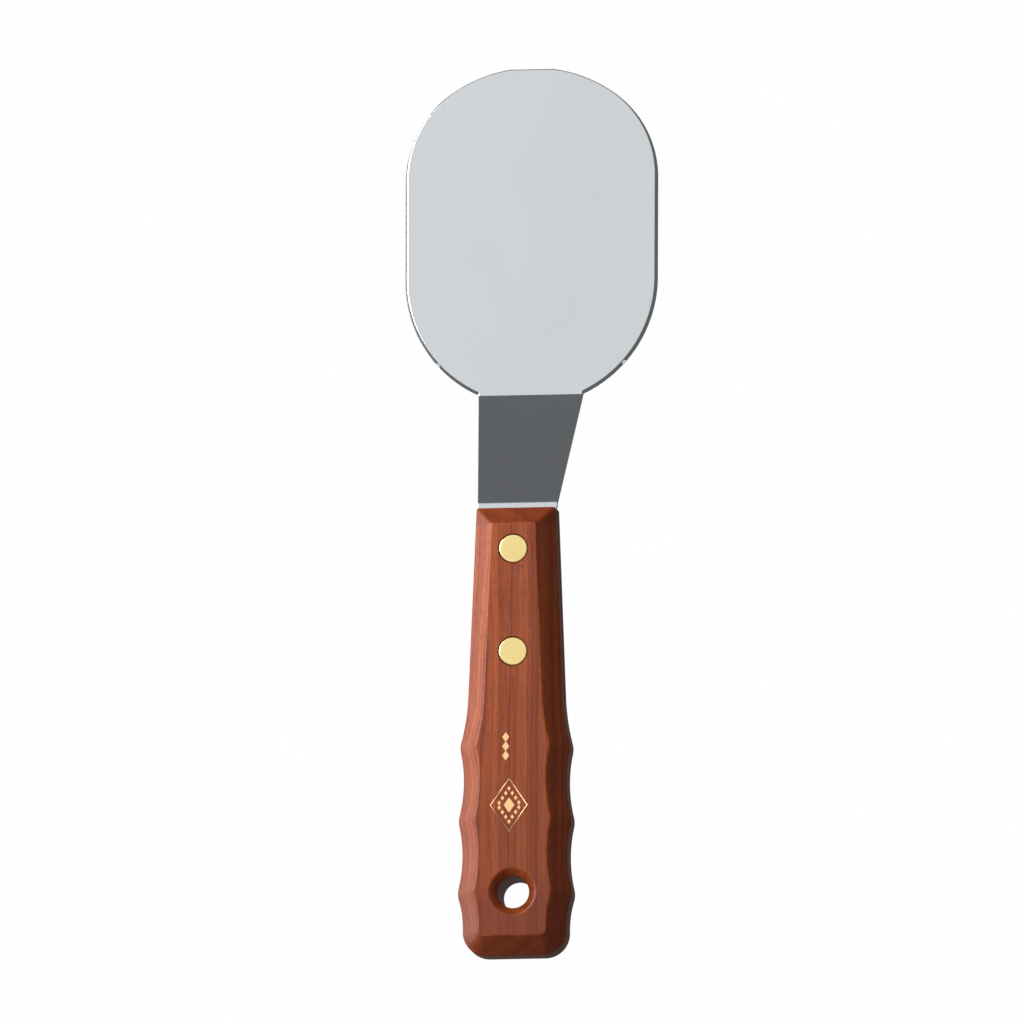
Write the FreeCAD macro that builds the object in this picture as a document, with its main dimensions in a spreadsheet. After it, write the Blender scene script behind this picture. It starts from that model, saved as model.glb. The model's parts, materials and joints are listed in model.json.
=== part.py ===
import FreeCAD, Part
import os
from math import asin, atan2, cos, degrees, hypot, pi, radians, sin, sqrt, tan

import Sketcher

# A broad offset palette knife.
#
# The design axes: +Y runs from the handle to the blade's tip, +X is to the right and +Z is up.
# The origin is where the blade's underside would meet the underside of the neck if the bend
# between them were sharp. When every piece is made, one placement lays the knife down as it
# lies on a table: on its heel bend and on the lower edge of the butt, with the tip in the air.

# ----------------------------------------------------------------------------- driving sizes
# Lengths are in millimetres and angles in degrees.
SIZES = {
    # the steel: blade, neck and tang
    "steel_thickness": 1.2,
    "blade_width": 71.0,
    "blade_length": 91.9,
    "tip_flat": 12.2,
    "tip_blend_radius": 12.0,
    "tip_corner_inset": 6.05,
    "tip_crown_extra": 10.4,
    "heel_overreach": 0.15,
    "heel_land": 0.6,
    "edge_bevel": 0.8,
    "edge_bevel_depth": 0.5,
    "neck_width_blade": 29.4,
    "neck_width_handle": 22.1,
    "neck_run": 33.5,
    "neck_rise": 23.0,
    "bend_radius": 0.4,
    "stub_length": 1.5,
    "tang_width": 20.0,
    "tang_length": 54.0,
    "tang_corner": 4.0,
    "nick_above_land": 8.5,
    "nick_radius": 0.7,
    "blank_margin": 3.0,
    # the wood
    "handle_length": 125.9,
    "handle_thickness": 17.0,
    "mouth_width": 22.2,
    "waist_taper": 2.35,
    "first_scallop_radius": 62.0,
    "scallop_radius": 40.0,
    "last_scallop_radius": 28.0,
    "crest_pitch": 20.6,
    "crest_width_1": 31.2,
    "crest_width_2": 32.0,
    "crest_width_3": 32.5,
    "last_crest_from_butt": 17.4,
    "crest_radius": 6.5,
    "tail_width": 29.2,
    "butt_radius": 6.8,
    "edge_chamfer": 5.05,
    "kerf_clearance": 0.6,
    "hang_hole_from_butt": 17.4,
    "hang_hole_bore": 8.9,
    "hang_hole_chamfer": 2.0,
    # the rivets
    "front_rivet_from_mouth": 12.25,
    "rear_rivet_from_mouth": 41.1,
    "rivet_head_diameter": 8.1,
    "rivet_head_thickness": 1.0,
    "rivet_tube_diameter": 4.8,
    "rivet_shank_diameter": 3.2,
    "tube_end_gap": 4.5,
    "shank_end_gap": 3.5,
    "rivet_clearance": 0.05,
}

document = FreeCAD.newDocument("palette_knife")
sheet = document.addObject("Spreadsheet::Sheet", "sizes")
for row, (alias, number) in enumerate(SIZES.items(), start=1):
    sheet.set(f"A{row}", alias.replace("_", " "))
    sheet.set(f"B{row}", str(number))
    sheet.setAlias(f"B{row}", alias)
document.recompute()


def size(alias):
    """The value that the sheet holds under this alias."""
    return float(sheet.get(alias))


# -------------------------------------------------------------------------- sketching helpers
ORIGIN = (-1, 1)
X_AXIS = -1
Y_AXIS = -2


def flat(point):
    return FreeCAD.Vector(point[0], point[1], 0)


def new_sketch(body, name, plane, offset=None):
    """A sketch on one of the body's own origin planes, moved off it by an expression."""
    sketch = body.newObject("Sketcher::SketchObject", name)
    support = next(item for item in body.Origin.OriginFeatures if item.Role == plane)
    sketch.AttachmentSupport = [(support, "")]
    sketch.MapMode = "FlatFace"
    if offset:
        sketch.setExpression("AttachmentOffset.Base.z", offset)
    return sketch


class Path:
    """A closed run of lines and arcs in a sketch. Each piece is joined to the one before it."""

    def __init__(self, sketch, start):
        self.sketch = sketch
        self.here = start
        self.ends = []

    def line(self, end, tangent=False):
        shape = Part.LineSegment(flat(self.here), flat(end))
        return self.join(shape, 1, 2, end, tangent)

    def arc(self, centre, end, clockwise=True, tangent=False):
        first, last = (end, self.here) if clockwise else (self.here, end)
        radius = hypot(end[0] - centre[0], end[1] - centre[1])
        angles = [atan2(p[1] - centre[1], p[0] - centre[0]) for p in (first, last)]
        if angles[1] < angles[0]:
            angles[1] += 2 * pi
        circle = Part.Circle(flat(centre), FreeCAD.Vector(0, 0, 1), radius)
        shape = Part.ArcOfCircle(circle, *angles)
        return self.join(shape, 2 if clockwise else 1, 1 if clockwise else 2, end, tangent)

    def join(self, shape, first, last, end, tangent):
        geometry = self.sketch.addGeometry(shape, False)
        if self.ends:
            before = self.ends[-1]
            kind = "Tangent" if tangent else "Coincident"
            self.sketch.addConstraint(Sketcher.Constraint(kind, *before[2:], geometry, first))
        self.ends.append((geometry, first, geometry, last))
        self.here = end
        return geometry

    def close(self):
        first, last = self.ends[0], self.ends[-1]
        self.sketch.addConstraint(Sketcher.Constraint("Coincident", *last[2:], *first[:2]))


def rule(sketch, kind, *where):
    """A constraint without a size, such as Horizontal or PointOnObject."""
    sketch.addConstraint(Sketcher.Constraint(kind, *where))


def measured(sketch, kind, where):
    """What a new size constraint would read on the sketch as it is drawn."""
    if kind == "Radius":
        return sketch.Geometry[where[0]].Radius
    if kind == "Diameter":
        return 2 * sketch.Geometry[where[0]].Radius
    if kind == "Angle":
        points = [sketch.getPoint(where[0], end) for end in (1, 2)]
        return atan2(points[1].y - points[0].y, points[1].x - points[0].x)
    if kind == "Distance":
        point = sketch.getPoint(*where[:2])
        line = Part.Line(sketch.getPoint(where[2], 1), sketch.getPoint(where[2], 2))
        return line.projectPoint(point, "LowerDistance")
    first, last = sketch.getPoint(*where[:2]), sketch.getPoint(*where[2:])
    return last.x - first.x if kind == "DistanceX" else last.y - first.y


def bind(sketch, kind, *where, to):
    """A size constraint whose value is an expression on the sheet."""
    value = measured(sketch, kind, where)
    index = sketch.addConstraint(Sketcher.Constraint(kind, *where, value))
    sketch.setExpression(f"Constraints[{index}]", to)


def touch_point(start, direction, through, radius, side):
    """Where an arc that leaves a line tangentially starts, and its centre, if it ends at a point.

    The line runs from start in direction. The arc bends away to its side: 1 is the left.
    """
    normal = (-direction[1] * side, direction[0] * side)
    across = (through[0] - start[0]) * normal[0] + (through[1] - start[1]) * normal[1]
    along = (through[0] - start[0]) * direction[0] + (through[1] - start[1]) * direction[1]
    reach = sqrt(radius**2 - (radius - across) ** 2)
    point = tuple(start[i] + direction[i] * (along - reach) for i in (0, 1))
    centre = tuple(point[i] + normal[i] * radius for i in (0, 1))
    return point, centre


def arc_centre(first, last, radius, side):
    """The centre of an arc between two points, on the left (1) or right (-1) of the chord."""
    chord = hypot(last[0] - first[0], last[1] - first[1])
    off = sqrt(radius**2 - chord**2 / 4) * side / chord
    middle = [(first[i] + last[i]) / 2 for i in (0, 1)]
    return middle[0] - (last[1] - first[1]) * off, middle[1] + (last[0] - first[0]) * off


# -------------------------------------------------------------------------- feature helpers
def new_body(label):
    body = document.addObject("PartDesign::Body", label)
    body.Label = label
    return body


def pad(body, sketch, length):
    """A pad that grows to both sides of its sketch."""
    feature = body.newObject("PartDesign::Pad", f"{sketch.Name}_pad")
    feature.Profile = sketch
    feature.SideType = "Symmetric"
    feature.setExpression("Length", length)
    return finish(feature)


def cut_through(body, sketch):
    """A pocket that goes right through, to both sides of its sketch."""
    before = body.Shape.Volume
    feature = body.newObject("PartDesign::Pocket", f"{sketch.Name}_pocket")
    feature.Profile = sketch
    feature.Type = "ThroughAll"
    feature.SideType = "Symmetric"
    return must_cut(finish(feature), before)


def cut_down(body, sketch, depth, upward=False):
    """A pocket of a given depth below its sketch, or above it."""
    before = body.Shape.Volume
    feature = body.newObject("PartDesign::Pocket", f"{sketch.Name}_pocket")
    feature.Profile = sketch
    feature.Reversed = upward
    feature.setExpression("Length", depth)
    return must_cut(finish(feature), before)


def mirror(body, feature):
    """The same feature on the other side of the knife's middle plane."""
    twin = body.newObject("PartDesign::Mirrored", f"{feature.Name}_mirrored")
    twin.Originals = [feature]
    plane = next(item for item in body.Origin.OriginFeatures if item.Role == "YZ_Plane")
    twin.MirrorPlane = (plane, [""])
    body.Tip = twin
    return finish(twin)


def dress(body, kind, edges, **sizes):
    """A fillet or chamfer on the named edges of the body as it now stands."""
    feature = body.newObject(f"PartDesign::{kind}", f"{body.Name}_{kind.lower()}")
    feature.Base = (feature.BaseFeature or body.Tip, edges)
    if "Size2" in sizes:
        feature.ChamferType = "Two distances"
    for name, expression in sizes.items():
        feature.setExpression(name, expression)
    return finish(feature)


def finish(feature):
    document.recompute()
    if {"Invalid", "Error"} & set(feature.State) or not feature.Shape.isValid():
        raise RuntimeError(f"{feature.Name} failed: {feature.State}")
    return feature


def must_cut(feature, before):
    if not feature.Shape.Volume < before:
        raise RuntimeError(f"{feature.Name} cuts nothing")
    return feature


def edges_where(shape, test):
    return [f"Edge{n}" for n, edge in enumerate(shape.Edges, start=1) if test(edge)]


def middle_of(edge):
    return edge.valueAt((edge.FirstParameter + edge.LastParameter) / 2)


def stands_at(places):
    """A test for upright edges that stand at one of these places, on either side."""

    def test(edge):
        ends = [vertex.Point for vertex in edge.Vertexes]
        if len(ends) != 2 or abs(ends[0].z - ends[1].z) < 1e-3 or ends[0].distanceToPoint(ends[1]) < 1e-3:
            return False
        upright = hypot(ends[0].x - ends[1].x, ends[0].y - ends[1].y) < 1e-6
        return upright and any(hypot(abs(ends[0].x) - x, ends[0].y - y) < 1e-3 for x, y in places)

    return test


# ------------------------------------------------------------------------------------ places
# Expressions for what several features share. MOUTH is how far the handle's mouth lies behind
# the origin, TANG_MIDDLE is the height of the middle of the tang and so of the handle, and
# TIP_CORNER and HEEL are the radii of the blade's corners. The functions give their values.
MOUTH = "(sizes.neck_run + sizes.stub_length)"
TANG_MIDDLE = "(sizes.neck_rise + sizes.steel_thickness / 2)"
TIP_CORNER = "(sizes.blade_width / 2 - sizes.tip_corner_inset)"
HEEL = "(sizes.blade_width / 2 + sizes.heel_overreach)"
RIVETS = ("front_rivet", "rear_rivet")
CRESTS = 3


def mouth():
    return size("neck_run") + size("stub_length")


def tang_middle():
    return size("neck_rise") + size("steel_thickness") / 2


def tip_corner_radius():
    return size("blade_width") / 2 - size("tip_corner_inset")


def heel_radius():
    return size("blade_width") / 2 + size("heel_overreach")


# ------------------------------------------------------------------------------------- blade
def blade_strip(body):
    """A wide strip of the sheet, bent up at the heel and level again at the tang."""
    thickness, run, rise = size("steel_thickness"), size("neck_run"), size("neck_rise")
    slope = atan2(rise, run)
    step = thickness * tan(slope / 2)
    tip = size("blade_length") + size("blank_margin")
    end = mouth() + size("tang_length") + size("blank_margin")
    sketch = new_sketch(body, "strip", "YZ_Plane")
    path = Path(sketch, (tip, 0))
    under_blade = path.line((0, 0))
    under_neck = path.line((-run, rise))
    under_tang = path.line((-end, rise))
    tang_cap = path.line((-end, rise + thickness))
    over_tang = path.line((-run + step, rise + thickness))
    over_neck = path.line((step, thickness))
    over_blade = path.line((tip, thickness))
    tip_cap = path.line((tip, 0))
    path.close()
    for level in (under_blade, under_tang, over_tang, over_blade):
        rule(sketch, "Horizontal", level)
    for cap in (tang_cap, tip_cap):
        rule(sketch, "Vertical", cap)
    rule(sketch, "Coincident", under_neck, 1, *ORIGIN)
    rule(sketch, "Parallel", under_neck, over_neck)
    bind(sketch, "DistanceX", *ORIGIN, under_blade, 1, to="sizes.blade_length + sizes.blank_margin")
    bind(sketch, "DistanceX", under_neck, 2, *ORIGIN, to="sizes.neck_run")
    bind(sketch, "DistanceY", *ORIGIN, under_neck, 2, to="sizes.neck_rise")
    bind(sketch, "DistanceX", tang_cap, 1, *ORIGIN, to=f"{MOUTH} + sizes.tang_length + sizes.blank_margin")
    bind(sketch, "DistanceY", tang_cap, 1, tang_cap, 2, to="sizes.steel_thickness")
    bind(sketch, "DistanceY", tip_cap, 2, tip_cap, 1, to="sizes.steel_thickness")
    bind(sketch, "Distance", over_neck, 1, under_neck, to="sizes.steel_thickness")
    pad(body, sketch, "sizes.blade_width + 2 * sizes.blank_margin")

    def bend(places):
        def test(edge):
            point = middle_of(edge)
            return any(abs(point.x) < 1e-3 and hypot(point.y - y, point.z - z) < 1e-3 for y, z in places)

        return edges_where(body.Shape, test)

    dress(body, "Fillet", bend([(step, thickness), (-run, rise)]), Radius="sizes.bend_radius")
    dress(
        body,
        "Fillet",
        bend([(0, 0), (-run + step, rise + thickness)]),
        Radius="sizes.bend_radius + sizes.steel_thickness",
    )


def blade_outline(body):
    """The outline is blanked from the strip: this is the waste on the right, and its mirror image."""
    half = size("blade_width") / 2
    corner, heel = tip_corner_radius(), heel_radius()
    crown = corner + size("tip_crown_extra")
    tip = (size("tip_flat") / 2, size("blade_length"))
    crown_centre = (0, tip[1] - sqrt(crown**2 - tip[0] ** 2))
    lean = asin((half - corner) / (crown - corner))
    corner_centre = (half - corner, crown_centre[1] + (crown - corner) * cos(lean))
    shoulder = (crown * sin(lean), crown_centre[1] + crown * cos(lean))
    neck = (size("neck_width_blade") / 2, size("heel_land"))
    heel_centre = (half - heel, neck[1] + sqrt(heel**2 - (neck[0] - half + heel) ** 2))
    stop = (size("neck_width_handle") / 2, -mouth())
    tang, round_off = size("tang_width") / 2, size("tang_corner")
    end = -mouth() - size("tang_length")
    waste_x = half + 2 * size("blank_margin")
    waste_tip, waste_end = tip[1] + 2 * size("blank_margin"), end - 2 * size("blank_margin")

    sketch = new_sketch(body, "outline", "XY_Plane")
    path = Path(sketch, (0, tip[1]))
    tip_line = path.line(tip)
    crown_arc = path.arc(crown_centre, shoulder)
    corner_arc = path.arc(corner_centre, (half, corner_centre[1]), tangent=True)
    side = path.line((half, heel_centre[1]), tangent=True)
    heel_arc = path.arc(heel_centre, neck, tangent=True)
    neck_side = path.line(stop)
    shelf = path.line((tang, stop[1]))
    tang_side = path.line((tang, end + round_off))
    tang_arc = path.arc((tang - round_off, end + round_off), (tang - round_off, end), tangent=True)
    tang_end = path.line((0, end), tangent=True)
    axis_low = path.line((0, waste_end))
    waste_low = path.line((waste_x, waste_end))
    waste_side = path.line((waste_x, waste_tip))
    waste_high = path.line((0, waste_tip))
    axis_high = path.line((0, tip[1]))
    path.close()

    for level in (tip_line, shelf, tang_end, waste_low, waste_high):
        rule(sketch, "Horizontal", level)
    for upright in (side, tang_side, axis_low, waste_side, axis_high):
        rule(sketch, "Vertical", upright)
    rule(sketch, "PointOnObject", tip_line, 1, Y_AXIS)
    rule(sketch, "PointOnObject", crown_arc, 3, Y_AXIS)
    rule(sketch, "PointOnObject", axis_low, 1, Y_AXIS)
    bind(sketch, "DistanceY", *ORIGIN, tip_line, 1, to="sizes.blade_length")
    bind(sketch, "DistanceX", tip_line, 1, tip_line, 2, to="sizes.tip_flat / 2")
    bind(sketch, "Radius", crown_arc, to=f"{TIP_CORNER} + sizes.tip_crown_extra")
    bind(sketch, "Radius", corner_arc, to=TIP_CORNER)
    bind(sketch, "DistanceX", *ORIGIN, side, 1, to="sizes.blade_width / 2")
    bind(sketch, "Radius", heel_arc, to=HEEL)
    bind(sketch, "DistanceX", *ORIGIN, neck_side, 1, to="sizes.neck_width_blade / 2")
    bind(sketch, "DistanceY", *ORIGIN, neck_side, 1, to="sizes.heel_land")
    bind(sketch, "DistanceX", *ORIGIN, neck_side, 2, to="sizes.neck_width_handle / 2")
    bind(sketch, "DistanceY", neck_side, 2, *ORIGIN, to=MOUTH)
    bind(sketch, "DistanceX", *ORIGIN, tang_side, 1, to="sizes.tang_width / 2")
    bind(sketch, "Radius", tang_arc, to="sizes.tang_corner")
    bind(sketch, "DistanceY", tang_end, 2, *ORIGIN, to=f"{MOUTH} + sizes.tang_length")
    bind(sketch, "DistanceY", axis_low, 2, axis_low, 1, to="2 * sizes.blank_margin")
    bind(sketch, "DistanceY", axis_high, 2, axis_high, 1, to="2 * sizes.blank_margin")
    bind(sketch, "DistanceX", side, 1, waste_side, 1, to="2 * sizes.blank_margin")
    mirror(body, cut_through(body, sketch))
    tip_corners = edges_where(body.Shape, stands_at([tip]))
    dress(body, "Fillet", tip_corners, Radius="sizes.tip_blend_radius")


def blade_bevel(body):
    """The ground bevel round the upper edge of the blade, from one side of the neck to the other."""
    top, land = size("steel_thickness"), size("heel_land")

    def upper_edge(edge):
        ends = [vertex.Point for vertex in edge.Vertexes]
        level = all(abs(point.z - top) < 1e-3 and point.y > land - 1e-3 for point in ends)
        middle = middle_of(edge)
        return level and abs(middle.z - top) < 1e-3 and middle.y > land + 1e-3

    edges = edges_where(body.Shape, upper_edge)
    dress(body, "Chamfer", edges, Size="sizes.edge_bevel", Size2="sizes.edge_bevel_depth")


def rivet_circles(body, name, diameter, offset=None):
    """A sketch of one circle on each rivet's axis."""
    sketch = new_sketch(body, name, "XY_Plane", offset)
    for rivet in RIVETS:
        centre = (0, -mouth() - size(f"{rivet}_from_mouth"))
        circle = Part.Circle(flat(centre), FreeCAD.Vector(0, 0, 1), size("rivet_shank_diameter"))
        ring = sketch.addGeometry(circle, False)
        rule(sketch, "PointOnObject", ring, 3, Y_AXIS)
        bind(sketch, "DistanceY", ring, 3, *ORIGIN, to=f"{MOUTH} + sizes.{rivet}_from_mouth")
        bind(sketch, "Diameter", ring, to=diameter)
    return sketch


def blade_nicks(body):
    """The two small stops where the grinding of the front edge ends, low on the heel's curves."""
    heel, over = heel_radius(), size("heel_overreach")
    rise = sqrt(heel**2 - (size("neck_width_blade") / 2 + over) ** 2)
    height = size("heel_land") + size("nick_above_land")
    across = sqrt(heel**2 - (rise - size("nick_above_land")) ** 2) - over
    sketch = new_sketch(body, "nick", "XY_Plane", "sizes.steel_thickness")
    circle = Part.Circle(flat((across, height)), FreeCAD.Vector(0, 0, 1), size("nick_radius"))
    ring = sketch.addGeometry(circle, False)
    rise_rule = f"sqrt({HEEL}^2 - (sizes.neck_width_blade / 2 + sizes.heel_overreach)^2)"
    across_rule = f"sqrt({HEEL}^2 - ({rise_rule} - sizes.nick_above_land)^2) - sizes.heel_overreach"
    bind(sketch, "DistanceX", *ORIGIN, ring, 3, to=across_rule)
    bind(sketch, "DistanceY", *ORIGIN, ring, 3, to="sizes.heel_land + sizes.nick_above_land")
    bind(sketch, "Radius", ring, to="sizes.nick_radius")
    mirror(body, cut_down(body, sketch, "sizes.edge_bevel_depth"))


def make_blade():
    body = new_body("blade")
    blade_strip(body)
    blade_outline(body)
    blade_bevel(body)
    blade_nicks(body)
    holes = rivet_circles(body, "tang_holes", "sizes.rivet_tube_diameter + 2 * sizes.rivet_clearance")
    cut_through(body, holes)
    return body


# ------------------------------------------------------------------------------------ handle
def handle_block(body):
    """Half of the handle's plan, from the mouth over the three finger ridges to the butt."""
    front = -mouth()
    taper = radians(size("waist_taper"))
    butt = front - size("handle_length")
    mouth_corner = (size("mouth_width") / 2, front)
    last_crest = butt + size("last_crest_from_butt")
    crests = [
        (size(f"crest_width_{n}") / 2, last_crest + (CRESTS - n) * size("crest_pitch"))
        for n in range(1, CRESTS + 1)
    ]
    waist_way, tail_way = (sin(taper), -cos(taper)), (0, 1)
    waist_end, first_centre = touch_point(
        mouth_corner, waist_way, crests[0], size("first_scallop_radius"), side=1
    )
    tail_start, last_centre = touch_point(
        (size("tail_width") / 2, butt), tail_way, crests[-1], size("last_scallop_radius"), side=-1
    )
    sketch = new_sketch(body, "plan", "XY_Plane", TANG_MIDDLE)
    path = Path(sketch, (0, front))
    mouth_line = path.line(mouth_corner)
    waist = path.line(waist_end)
    first_scallop = path.arc(first_centre, crests[0], clockwise=False, tangent=True)
    scallops = []
    for before, after in zip(crests, crests[1:]):
        centre = arc_centre(before, after, size("scallop_radius"), side=1)
        scallops.append(path.arc(centre, after, clockwise=False))
    last_scallop = path.arc(last_centre, tail_start, clockwise=False)
    tail = path.line((tail_start[0], butt), tangent=True)
    butt_line = path.line((0, butt))
    middle = path.line((0, front))
    path.close()

    for level in (mouth_line, butt_line):
        rule(sketch, "Horizontal", level)
    for upright in (tail, middle):
        rule(sketch, "Vertical", upright)
    rule(sketch, "PointOnObject", mouth_line, 1, Y_AXIS)
    bind(sketch, "DistanceY", mouth_line, 1, *ORIGIN, to=MOUTH)
    bind(sketch, "DistanceX", mouth_line, 1, mouth_line, 2, to="sizes.mouth_width / 2")
    bind(sketch, "Angle", waist, to="(sizes.waist_taper - 90) * 1 deg")
    bind(sketch, "Radius", first_scallop, to="sizes.first_scallop_radius")
    for scallop in scallops:
        bind(sketch, "Radius", scallop, to="sizes.scallop_radius")
    bind(sketch, "Radius", last_scallop, to="sizes.last_scallop_radius")
    for n, scallop in enumerate(scallops + [last_scallop], start=1):
        ahead = f"sizes.last_crest_from_butt + {CRESTS - n} * sizes.crest_pitch"
        bind(sketch, "DistanceX", *ORIGIN, scallop, 1, to=f"sizes.crest_width_{n} / 2")
        bind(sketch, "DistanceY", butt_line, 1, scallop, 1, to=ahead)
    bind(sketch, "DistanceX", *ORIGIN, tail, 2, to="sizes.tail_width / 2")
    bind(sketch, "DistanceY", tail, 2, *ORIGIN, to=f"{MOUTH} + sizes.handle_length")
    mirror(body, pad(body, sketch, "sizes.handle_thickness"))

    ridges = edges_where(body.Shape, stands_at(crests))
    dress(body, "Fillet", ridges, Radius="sizes.crest_radius")
    corners = edges_where(body.Shape, stands_at([(size("tail_width") / 2, butt)]))
    dress(body, "Fillet", corners, Radius="sizes.butt_radius")


def handle_chamfers(body):
    """The broad chamfer round the edge of the upper and the lower face."""
    reach = size("handle_thickness") / 2

    def on_a_face(edge):
        heights = [abs(vertex.Point.z - tang_middle()) for vertex in edge.Vertexes]
        return all(abs(height - reach) < 1e-3 for height in heights)

    dress(body, "Chamfer", edges_where(body.Shape, on_a_face), Size="sizes.edge_chamfer")


def handle_kerf(body):
    """The saw cut across the whole mouth that takes the tang."""
    front, thickness = -mouth(), size("steel_thickness")
    depth = size("tang_length") + size("kerf_clearance")
    low, high = size("neck_rise"), size("neck_rise") + thickness
    out = front + size("stub_length")
    sketch = new_sketch(body, "kerf", "YZ_Plane")
    path = Path(sketch, (out, low))
    sides = [path.line(to) for to in ((front - depth, low), (front - depth, high), (out, high), (out, low))]
    path.close()
    for n, side in enumerate(sides):
        rule(sketch, "Vertical" if n % 2 else "Horizontal", side)
    bind(sketch, "DistanceX", sides[0], 1, *ORIGIN, to="sizes.neck_run")
    bind(sketch, "DistanceY", *ORIGIN, sides[0], 1, to="sizes.neck_rise")
    bind(sketch, "DistanceY", sides[1], 1, sides[1], 2, to="sizes.steel_thickness")
    behind = f"{MOUTH} + sizes.tang_length + sizes.kerf_clearance"
    bind(sketch, "DistanceX", sides[1], 1, *ORIGIN, to=behind)
    cut_through(body, sketch)


def handle_hang_hole(body):
    """The hanging hole, with both mouths eased."""
    centre = (0, -mouth() - size("handle_length") + size("hang_hole_from_butt"))
    sketch = new_sketch(body, "hang_hole", "XY_Plane")
    circle = Part.Circle(flat(centre), FreeCAD.Vector(0, 0, 1), size("hang_hole_bore") / 2)
    ring = sketch.addGeometry(circle, False)
    rule(sketch, "PointOnObject", ring, 3, Y_AXIS)
    behind = f"{MOUTH} + sizes.handle_length - sizes.hang_hole_from_butt"
    bind(sketch, "DistanceY", ring, 3, *ORIGIN, to=behind)
    bind(sketch, "Diameter", ring, to="sizes.hang_hole_bore")
    cut_through(body, sketch)
    radius = size("hang_hole_bore") / 2

    def is_mouth(edge):
        round_edge = isinstance(edge.Curve, Part.Circle) and abs(edge.Curve.Radius - radius) < 1e-6
        return round_edge and abs(edge.Curve.Center.y - centre[1]) < 1e-3

    dress(body, "Chamfer", edges_where(body.Shape, is_mouth), Size="sizes.hang_hole_chamfer")


def handle_rivet_holes(body):
    """A bore for each rivet, with a seat for its head in the upper and the lower face."""
    bore = "sizes.rivet_tube_diameter + 2 * sizes.rivet_clearance"
    seat = "sizes.rivet_head_diameter + 2 * sizes.rivet_clearance"
    cut_through(body, rivet_circles(body, "rivet_bores", bore))
    upper = rivet_circles(body, "upper_seats", seat, f"{TANG_MIDDLE} + sizes.handle_thickness / 2")
    cut_down(body, upper, "sizes.rivet_head_thickness")
    lower = rivet_circles(body, "lower_seats", seat, f"{TANG_MIDDLE} - sizes.handle_thickness / 2")
    cut_down(body, lower, "sizes.rivet_head_thickness", upward=True)


def make_handle():
    body = new_body("handle")
    handle_block(body)
    handle_chamfers(body)
    handle_kerf(body)
    handle_hang_hole(body)
    handle_rivet_holes(body)
    return body


# ------------------------------------------------------------------------------------ rivets
# Each bound of a rivet's section is an expression and its value.
ZERO = ("0", 0)


def whole(alias):
    return f"sizes.{alias}", size(alias)


def halved(alias):
    return f"sizes.{alias} / 2", size(alias) / 2


def through_handle(gap):
    """How far a shank or tube reaches from its head's outer face: to this gap from the far end."""
    names = ("handle_thickness", "rivet_head_thickness", gap)
    return " - ".join(f"sizes.{name}" for name in names), size(names[0]) - size(names[1]) - size(gap)


def turned(label, bounds):
    """A body turned about Z from half its section, with the head's outer face at the origin.

    The section is a run of level and upright lines by turns, and bounds holds the height of
    each level line and the radius of each upright one.
    """
    body = new_body(label)
    sketch = new_sketch(body, f"{label}_section", "XZ_Plane")
    values = [value for _, value in bounds]
    path = Path(sketch, (values[-1], values[0]))
    for n, value in enumerate(values):
        after = values[(n + 1) % len(values)]
        line = path.line((value, after) if n % 2 else (after, value))
        upright = bool(n % 2)
        rule(sketch, "Vertical" if upright else "Horizontal", line)
        if bounds[n] is ZERO:
            rule(sketch, "PointOnObject", line, 1, Y_AXIS if upright else X_AXIS)
        elif upright:
            bind(sketch, "DistanceX", *ORIGIN, line, 1, to=bounds[n][0])
        else:
            bind(sketch, "DistanceY", *ORIGIN, line, 1, to=bounds[n][0])
    path.close()
    feature = body.newObject("PartDesign::Revolution", f"{label}_turned")
    feature.Profile = sketch
    feature.ReferenceAxis = (sketch, ["V_Axis"])
    feature.Angle = 360
    finish(feature)
    return body


def make_stud(rivet):
    """The solid half of a cutler's rivet."""
    head = [ZERO, halved("rivet_head_diameter"), whole("rivet_head_thickness")]
    shank = [halved("rivet_shank_diameter"), through_handle("shank_end_gap"), ZERO]
    return turned(f"{rivet}_stud", head + shank)


def make_tube(rivet):
    """The hollow half, whose tube grips the stud's shank."""
    head = [ZERO, halved("rivet_head_diameter"), whole("rivet_head_thickness")]
    reach = [halved("rivet_tube_diameter"), through_handle("tube_end_gap")]
    bore = [halved("rivet_shank_diameter"), whole("rivet_head_thickness"), ZERO]
    return turned(f"{rivet}_tube", head + reach + bore)


def rivet_place(rivet, upper):
    """Where a rivet half's head sits in the handle. A stud is turned over, to point down."""
    reach = size("handle_thickness") / 2
    height = tang_middle() + (reach if upper else -reach)
    centre = FreeCAD.Vector(0, -mouth() - size(f"{rivet}_from_mouth"), height)
    turn = FreeCAD.Rotation(FreeCAD.Vector(1, 0, 0), 180 if upper else 0)
    return FreeCAD.Placement(centre, turn)


# ------------------------------------------------------------------------------------- whole
def rest_placement(pieces):
    """The placement that lays the knife on its heel bend and the lower edge of its butt.

    The outside of the heel bend is a quarter-round about a point above the table. The butt
    touches where the lower face meets its chamfer.
    """
    slope = atan2(size("neck_rise"), size("neck_run"))
    bend = size("bend_radius") + size("steel_thickness")
    bend_centre = (bend * tan(slope / 2), bend)
    butt_edge = (
        -mouth() - size("handle_length") + size("edge_chamfer"),
        tang_middle() - size("handle_thickness") / 2,
    )
    back, up = bend_centre[0] - butt_edge[0], butt_edge[1] - bend_centre[1]
    tilt = atan2(up, back) + asin(bend / hypot(back, up))
    turn = FreeCAD.Placement(FreeCAD.Vector(), FreeCAD.Rotation(FreeCAD.Vector(1, 0, 0), degrees(tilt)))
    whole_knife = Part.Compound([piece.Shape for piece in pieces])
    whole_knife.Placement = turn
    box = whole_knife.optimalBoundingBox(False)
    shift = FreeCAD.Vector(-box.Center.x, -box.Center.y, -box.ZMin)
    return FreeCAD.Placement(shift, FreeCAD.Rotation()).multiply(turn)


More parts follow.
